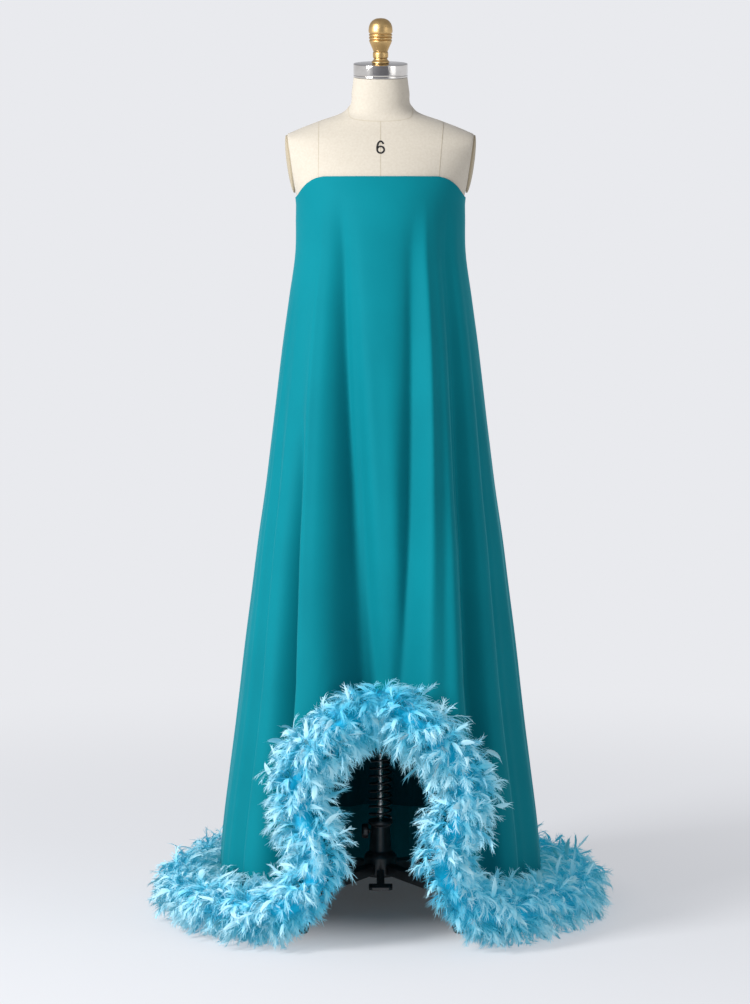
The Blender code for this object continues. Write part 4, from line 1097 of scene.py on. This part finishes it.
class GOWN_OT_form(bpy.types.Operator):
    """Makes the linen dress form, its arm plates, its seams and its size numeral."""

    bl_idname = "gown.form"
    bl_label = "Dress form"

    def execute(self, context):
        settings = context.scene.gown_form
        canvas = linen("linen canvas, cream", settings.light, settings.dark)
        plate = linen("linen canvas, sand", settings.plate, settings.plate)
        # Seam lines are drawn darker than the linen: painted shade along each seam.
        thread = linen("cotton seam, shaded", "#B2A894", "#A79C86")
        ink = rubber("stencil ink, black", "#0E0E10", "#08080A")
        angles = np.arange(200) * 1.8
        hidden = np.linspace(FORM_BOTTOM, 1.27, 44)
        heights = np.concatenate([hidden, np.linspace(1.276, FORM_SECTIONS[-1, 0], 84)])
        grid, levels = np.meshgrid(angles, heights)
        body = rings_piece("form_linen", form_point(grid, levels, 0.0), canvas, sharp=60)
        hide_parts("form_body")
        for side, node in ((1, "arm_plate_right"), (-1, "arm_plate_left")):
            self.arm_plate(node, side, plate)
        self.seams(settings.seam, thread)
        self.numeral(settings.numeral, ink)
        return {"FINISHED"}

    @staticmethod
    def arm_plate(node, side, finish):
        """Oval plate: rings that shrink by a cosine as they rise by a sine, for a domed face."""
        turn = np.radians(np.arange(64) * 5.625)
        dome = np.radians(np.linspace(0.0, 84.0, 12))
        steps = [(1.0, SEAT), (1.0, 0.0028)]
        steps += [(0.9 * math.cos(a) + 0.1 * (1 - math.sin(a)), 0.0030 + 0.0055 * math.sin(a)) for a in dome]
        rings = []
        for scale, out in steps:
            y = PLATE_Y + PLATE_HALF_Y * scale * np.sin(turn)
            z = PLATE_Z + PLATE_HALF_Z * scale * np.cos(turn)
            x = side * (ARM_CUT_X + (z - ARM_CUT_Z) * ARM_CUT_SLOPE + out)
            rings.append(np.column_stack([x, y, z]))
        rings = np.array(rings)
        piece = rings_piece(f"{node}_linen", rings if side < 0 else rings[:, ::-1], finish, sharp=50)
        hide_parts(node)

    @staticmethod
    def seam_strip(angle, height, width):
        """Narrow raised strip along a line on the form: five points across, highest in the middle."""
        line = form_point(angle, height, 0.0)
        ahead = unit(np.gradient(line, axis=0))
        step = 0.4
        across = form_point(angle + step, height, 0.0) - form_point(angle - step, height, 0.0)
        lift = form_point(angle, height + 0.001, 0.0) - form_point(angle, height - 0.001, 0.0)
        normal = unit(np.cross(across, lift))
        side = unit(np.cross(normal, ahead))
        offsets = np.array((-0.5, -0.22, 0.0, 0.22, 0.5))
        raise_by = np.array((-0.0002, 0.00035, 0.00010, 0.00035, -0.0002))
        sideways = side[:, None] * (offsets * width)[:, None]
        return line[:, None] + sideways + normal[:, None] * raise_by[:, None]

    def seams(self, width, finish):
        """Centre, princess, shoulder and neck seams as one mesh."""
        lines = [
            (np.zeros(60), np.linspace(1.31, 1.437, 60)),
            (np.full(60, 180.0), np.linspace(1.29, 1.468, 60)),
        ]
        for x in (-0.110, 0.103):
            for back in (False, True):
                level = np.linspace(1.29, 1.4385, 70)
                away = abs(x) + max(x, 0.0) * 0.9 * (level - 1.335).clip(0)
                share = (away / np.maximum(smooth(FORM_SECTIONS, 1, level), away)) ** (1 / OVAL)
                angle = np.degrees(np.arcsin(np.clip(share, 0.0, 0.985)))
                lines.append((math.copysign(1.0, x) * (180.0 - angle if back else angle), level))
        for side in (-1, 1):
            lines.append((np.full(40, side * 90.0), np.linspace(1.4075, 1.462, 40)))
        turn = np.linspace(-180.0, 180.0, 160)
        ahead = np.cos(np.radians(turn))
        lines.append((turn, 1.461 - 0.024 * ahead.clip(0) ** 1.5 + 0.008 * (-ahead).clip(0)))
        points, faces = joined([self.seam_strip(angle, height, width) for angle, height in lines])
        piece = new_piece("form_seams", points, faces, finish)

    @staticmethod
    def numeral(height, finish):
        """Stencilled size number: an arc for the stem and an oval for the bowl, as ribbons on the linen."""
        width = 0.60 * height
        stroke = 0.130 * height
        stem = np.radians(np.linspace(-4.0, 142.0, 40))
        bowl = np.radians(np.linspace(0.0, 360.0, 60))
        paths = (
            (-0.44 * np.cos(stem) * width, (-0.12 + 0.56 * np.sin(stem)) * height),
            (0.44 * np.cos(bowl) * width, (-0.20 + 0.25 * np.sin(bowl)) * height),
        )
        grids = []
        for x, z in paths:
            line = np.column_stack([x, z])
            ahead = unit(np.gradient(line, axis=0))
            side = np.column_stack([-ahead[:, 1], ahead[:, 0]])
            flat = line[:, None] + side[:, None] * np.array((-0.5, 0.0, 0.5))[:, None] * stroke
            level = NUMERAL_Z + flat[..., 1]
            share = np.clip(np.abs(flat[..., 0]) / smooth(FORM_SECTIONS, 1, level), 0.0, 1.0) ** (1 / OVAL)
            angle = np.sign(flat[..., 0]) * np.degrees(np.arcsin(share))
            grids.append(form_point(angle, level, 0.0005))
        points, faces = joined(grids)
        piece = new_piece("form_numeral", points, faces, finish)


class GOWN_OT_neck(bpy.types.Operator):
    """Makes the polished neck cap and the turned finial."""

    bl_idname = "gown.neck"
    bl_label = "Cap and finial"

    def execute(self, context):
        settings = context.scene.gown_stand
        steel = metal("stainless steel, polished", settings.steel, "#C8C4BF", 0.10, 900.0, 30.0)
        brass = metal("brass, satin lacquered and turned", settings.brass, "#C2A06A", 0.42, 700.0, 40.0)
        groove = CAP_RADIUS - 0.0006
        corners = ((AXIS, 0.0), (CAP_RADIUS, 0.0), (CAP_RADIUS, 0.0035), (groove, 0.0042), (groove, 0.0050),
                   (CAP_RADIUS, 0.0057), (CAP_RADIUS, CAP_HEIGHT), (AXIS, CAP_HEIGHT))
        cap = turned("neck_cap_polished", rounded_profile(corners, 0.0016, 6), steel, 128, place=neck_top())
        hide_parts("neck_cap")
        corners = (
            (AXIS, 0.0), (0.0155, 0.0), (0.0160, 0.0032), (0.0128, 0.0060), (0.0116, 0.0090),
            (0.0132, 0.0100), (0.0137, 0.0112), (0.0137, 0.0186), (0.0130, 0.0200), (0.0124, 0.0206),
            (0.0130, 0.0216), (0.0152, 0.0275), (0.0186, 0.0350), (0.0203, 0.0392), (0.0203, 0.0412),
            (0.0184, 0.0424), (0.0206, 0.0436), (0.0208, 0.0464), (0.0186, 0.0476), (0.0208, 0.0490),
            (0.0208, 0.0512), (0.0188, 0.0524), (0.0212, 0.0545), (0.0215, 0.0580), (0.0209, 0.0645),
            (0.0186, 0.0710), (0.0140, 0.0762), (0.0080, 0.0792), (AXIS, 0.0800),
        )
        place = neck_top() @ Matrix.Translation((0.0, 0.0, CAP_HEIGHT + SEAT))
        finial = turned("finial_turned", rounded_profile(corners, 0.0022, 5), brass, 96, place=place)
        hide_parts("finial")
        return {"FINISHED"}


class GOWN_OT_stand(bpy.types.Operator):
    """Makes the pole, spring, column, legs, casters, pedal and knob."""

    bl_idname = "gown.stand"
    bl_label = "Stand"

    def execute(self, context):
        settings = context.scene.gown_stand
        iron = enamel("black enamel on cast iron", "#2A2A2D", settings.iron, 0.38)
        chrome = metal("chromed steel tube", settings.steel, "#CFCBC7", 0.32, 400.0, 20.0)
        tyre = rubber("moulded rubber, black", "#26262A", "#161618")
        zinc = metal("zinc plated bolt", "#D6D4CF", "#B9B5AE", 0.25, 900.0, 60.0)
        self.upright(iron, chrome)
        for name in CASTERS:
            leg = rounded_node(f"leg_{name}", iron, settings.rounding)
            self.caster(name, iron, tyre, zinc, settings.rounding)
        pedal = rounded_node("release_pedal", iron, settings.rounding, body="pedal")
        self.knob(iron)
        return {"FINISHED"}

    @staticmethod
    def upright(iron, chrome):
        """Column, pole, spring and collar about the pole's axis."""
        corners = ((AXIS, 0.068), (0.027, 0.068), (0.030, 0.071), (0.030, 0.104), (0.026, 0.110),
                   (0.0205, 0.114), (0.0190, 0.135), (0.0172, 0.160), (0.0225, 0.164), (0.0225, COLUMN_TOP),
                   (AXIS, COLUMN_TOP))
        column = turned("column_cast", rounded_profile(corners, 0.0020, 5), iron, 72)
        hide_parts("base_column")
        low = COLUMN_TOP + SEAT
        high = FORM_BOTTOM - SEAT
        corners = ((AXIS, low), (POLE_RADIUS, low), (POLE_RADIUS, high), (AXIS, high))
        pole = turned("pole_chromed", rounded_profile(corners, 0.0006, 3), chrome, 48)
        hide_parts("pole")
        turns = np.linspace(0.0, SPRING_TURNS, 44 * SPRING_TURNS)
        path = np.column_stack([
            SPRING_RADIUS * np.cos(turns * 2 * math.pi),
            SPRING_RADIUS * np.sin(turns * 2 * math.pi),
            low + SPRING_WIRE + turns * SPRING_PITCH,
        ])
        spring = tube("spring_coil", path, SPRING_WIRE * 0.92, iron, 10)
        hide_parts("height_spring")
        collar = rounded_node("spring_collar", iron, 0.0012)

    @staticmethod
    def caster(name, iron, tyre, zinc, rounding):
        """Fork with its bright axle bolt, and the wheel with tyre, rim and hub."""
        fork_body = f"fork_{name}"
        wheel_body = f"wheel_{name}"
        fork = rounded_node(fork_body, iron, rounding * 0.8, body=fork_body)
        axle = caster_frame(name) @ Matrix.Translation((CASTER_TRAIL, 0.0, WHEEL_RADIUS))
        axle = axle @ Matrix.Rotation(math.radians(90.0), 4, "X")
        corners = ((AXIS, 0.0), (0.0042, 0.0), (0.0042, 0.0012), (0.0030, 0.0022), (AXIS, 0.0024))
        head = rounded_profile(corners, 0.0006, 3)
        for half_turn, label in ((0.0, "left"), (math.pi, "right")):
            place = axle @ Matrix.Rotation(half_turn, 4, "X")
            place = place @ Matrix.Translation((0.0, 0.0, FORK_HALF - 0.0002))
            bolt = turned(f"axle_bolt_{name}_{label}", head, zinc, 24, fork_body, place)
        half = WHEEL_WIDTH / 2
        hub = HUB_HALF - SEAT
        r = WHEEL_RADIUS
        corners = [(AXIS, -hub), (0.0042, -hub), (0.0050, -half - 0.0006), (0.0085, -half - 0.0002),
                   (0.0092, -half + 0.0022), (r - 0.0088, -half + 0.0026), (r - 0.0078, -half + 0.0002),
                   (r - 0.0020, -half), (r, -half + 0.0040)]
        corners += [(radius, -height) for radius, height in corners[::-1]]
        profile = rounded_profile(corners, 0.0012, 4)
        wheel = turned(f"wheel_{name}_moulded", profile, tyre, 64, wheel_body, axle)
        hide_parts(wheel_body)

    @staticmethod
    def knob(iron):
        """Six-lobed hand knob on its screw, turned about the screw's axis."""
        face = KNOB_FACE + SEAT
        stub = face + 0.0036
        end = stub + 0.0125
        corners = ((AXIS, face), (0.0040, face), (0.0040, stub), (0.0125, stub), (0.0132, stub + 0.003),
                   (0.0132, end - 0.003), (0.0105, end), (AXIS, end))
        place = Matrix.Translation((0.0, 0.0, KNOB_Z)) @ Matrix.Rotation(math.radians(-90.0), 4, "Y")
        profile = rounded_profile(corners, 0.0020, 4)
        knob = turned("clamp_knob_moulded", profile, iron, 72, "knob", place, lobes=6, lobe_depth=0.04)
        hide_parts("clamp_knob")


class GOWN_OT_stage(bpy.types.Operator):
    """Makes the floor, the soft studio light and the camera."""

    bl_idname = "gown.stage"
    bl_label = "Stage"

    def execute(self, context):
        settings = context.scene.gown_stage
        self.floor(settings)
        self.flag()
        self.lights(context.scene, settings)
        self.camera(context.scene, settings)
        return {"FINISHED"}

    @staticmethod
    def floor(settings):
        """Round floor: rings of growing radius. Its glow is lowered in a patch round the stand, a painted
        shadow under the dress in which the object's real shadow also falls, and it glows more and more
        further out as the backdrop does, so that no horizon shows."""
        turn = np.radians(np.arange(96) * 3.75)
        radius = np.array((0.3, 0.6, 1.0, 1.6, 2.4, 3.6, 5.5, 9.0, 16.0, 32.0, 70.0))
        ring = np.stack([np.cos(turn), np.sin(turn), np.zeros(96)], axis=-1)
        rings = (radius[:, None, None] * ring[None]).reshape(-1, 3) + (0.0, 0.0, -0.0004)
        faces = grid_faces(len(radius), 96, round_columns=True)[:, ::-1].tolist()
        faces.append(list(range(96)))
        finish, tree, shader, place = new_finish("painted studio sweep, off-white", {
            "Roughness": 0.85, "Base Color": "#E2E4E8", "Specular IOR Level": 0.1,
        })
        # The painted shadow's middle lies a little behind the pole.
        inside = add_node(tree, "ShaderNodeVectorMath", {0: place, 1: (0.0, 0.14, 0.0)}, operation="SUBTRACT")
        level = add_node(tree, "ShaderNodeVectorMath", {0: (inside, "Vector")}, operation="LENGTH")
        near = add_node(tree, "ShaderNodeMapRange", {
            "Value": (level, "Value"), "From Min": 0.18, "From Max": 0.52, "To Min": 0.05, "To Max": 0.52,
        }, interpolation_type="SMOOTHSTEP")
        far = add_node(tree, "ShaderNodeMapRange", {
            "Value": (level, "Value"), "From Min": 0.3, "From Max": 2.8, "To Max": 0.48,
        }, interpolation_type="SMOOTHSTEP")
        share = add_node(tree, "ShaderNodeMath", {0: (near, "Result"), 1: (far, "Result")}, operation="ADD")
        glow = add_node(tree, "ShaderNodeEmission", {"Color": settings.backdrop, "Strength": settings.glow})
        mix = add_node(tree, "ShaderNodeMixShader", {
            0: (share, "Value"), 1: (shader, "BSDF"), 2: (glow, "Emission"),
        })
        fill(tree, tree.nodes["Material Output"], {"Surface": (mix, "Shader")})
        mesh = bpy.data.meshes.new("studio_floor")
        mesh.from_pydata(rings.tolist(), [], faces)
        mesh.materials.append(finish)
        floor = bpy.data.objects.new("studio_floor", mesh)
        bpy.context.scene.collection.objects.link(floor)

    @staticmethod
    def flag():
        """Grey cloth hung before the object for its reflections alone: the dark band on polished metal."""
        finish = new_finish("matt studio cloth, grey", {"Roughness": 0.9, "Base Color": "#77777C"})[0]
        mesh = bpy.data.meshes.new("reflection_flag")
        corners = [(-3.0, -3.6, 0.1), (3.9, -3.6, 0.1), (3.9, -3.6, 3.4), (-3.0, -3.6, 3.4)]
        mesh.from_pydata(corners, [], [(3, 2, 1, 0)])
        mesh.materials.append(finish)
        flag = bpy.data.objects.new("reflection_flag", mesh)
        flag.visible_camera = False
        flag.visible_diffuse = False
        flag.visible_shadow = False
        flag.visible_transmission = False
        bpy.context.scene.collection.objects.link(flag)

    @staticmethod
    def lights(scene, settings):
        """Pale walls under a dimmer ceiling, a large softbox from the left and a weak one from the right."""
        world = bpy.data.worlds.new("studio light")
        world.use_nodes = True
        tree = world.node_tree
        ways = add_node(tree, "ShaderNodeTexCoord", {})
        split = add_node(tree, "ShaderNodeSeparateXYZ", {0: (ways, "Generated")})
        shades = ((0.08, settings.backdrop), (0.24, settings.ceiling))
        wall = add_node(tree, "ShaderNodeValToRGB", {"Fac": (split, "Z")}, shades)
        fill(tree, tree.nodes["Background"], {"Color": (wall, "Color"), "Strength": settings.glow})
        scene.world = world
        scene.view_settings.view_transform = "Standard"
        boxes = (
            ("key_softbox", (-3.0, -2.7, 2.4), 1.3, 1.9, settings.key),
            ("fill_softbox", (3.2, -2.8, 1.9), 1.8, 2.2, settings.fill),
        )
        for name, place, width, height, power in boxes:
            lamp = bpy.data.lights.new(name, "AREA")
            lamp.shape = "RECTANGLE"
            lamp.size = width
            lamp.size_y = height
            lamp.energy = power
            box = bpy.data.objects.new(name, lamp)
            box.location = place
            aim = Vector((0.0, 0.0, AIM_HEIGHT)) - Vector(place)
            box.rotation_euler = aim.to_track_quat("-Z", "Y").to_euler()
            scene.collection.objects.link(box)

    @staticmethod
    def camera(scene, settings):
        """Camera at the viewer's place: the frame's long side takes the sensor's 36 mm."""
        lens = bpy.data.cameras.new("view_from_front")
        lens.sensor_fit = "VERTICAL"
        lens.sensor_height = SENSOR
        lens.lens = settings.focal / FRAME_HEIGHT * SENSOR
        lens.clip_end = 300.0
        off_axis = (OBJECT_COLUMN - FRAME_WIDTH / 2) * settings.distance / settings.focal
        viewer = bpy.data.objects.new("view_from_front", lens)
        viewer.location = (POLE[0] - off_axis, POLE[1] - settings.distance, settings.height)
        viewer.rotation_euler = (math.radians(90.0) - settings.tilt, 0.0, 0.0)
        scene.collection.objects.link(viewer)
        scene.camera = viewer


GROUPS = {"gown_cloth": GownCloth, "gown_boa": GownBoa, "gown_form": GownForm, "gown_stand": GownStand,
          "gown_stage": GownStage}
OPERATORS = (GOWN_OT_stage, GOWN_OT_dress, GOWN_OT_boa, GOWN_OT_form, GOWN_OT_neck, GOWN_OT_stand)


class GOWN_PT_panel(bpy.types.Panel):
    """Lists the sizes and colours, and a button for each group of pieces."""

    bl_idname = "GOWN_PT_panel"
    bl_label = "Evening dress"
    bl_space_type = "VIEW_3D"
    bl_region_type = "UI"
    bl_category = "Gown"

    def draw(self, context):
        for name in GROUPS:
            box = self.layout.box()
            settings = getattr(context.scene, name)
            for key in settings.__annotations__:
                box.prop(settings, key)
        for operator in OPERATORS:
            self.layout.operator(operator.bl_idname)


def register():
    """Registers the settings, operators and panel."""
    for name, group in GROUPS.items():
        bpy.utils.register_class(group)
        setattr(bpy.types.Scene, name, bpy.props.PointerProperty(type=group))
    for operator in OPERATORS:
        bpy.utils.register_class(operator)
    bpy.utils.register_class(GOWN_PT_panel)


def unregister():
    """Takes them out again, last first."""
    bpy.utils.unregister_class(GOWN_PT_panel)
    for operator in reversed(OPERATORS):
        bpy.utils.unregister_class(operator)
    for name, group in reversed(GROUPS.items()):
        delattr(bpy.types.Scene, name)
        bpy.utils.unregister_class(group)


def main():
    """Makes every piece in order."""
    register()
    bpy.ops.gown.stage()
    bpy.ops.gown.dress()
    bpy.ops.gown.boa()
    bpy.ops.gown.form()
    bpy.ops.gown.neck()
    bpy.ops.gown.stand()


if __name__ == "__main__":
    main()
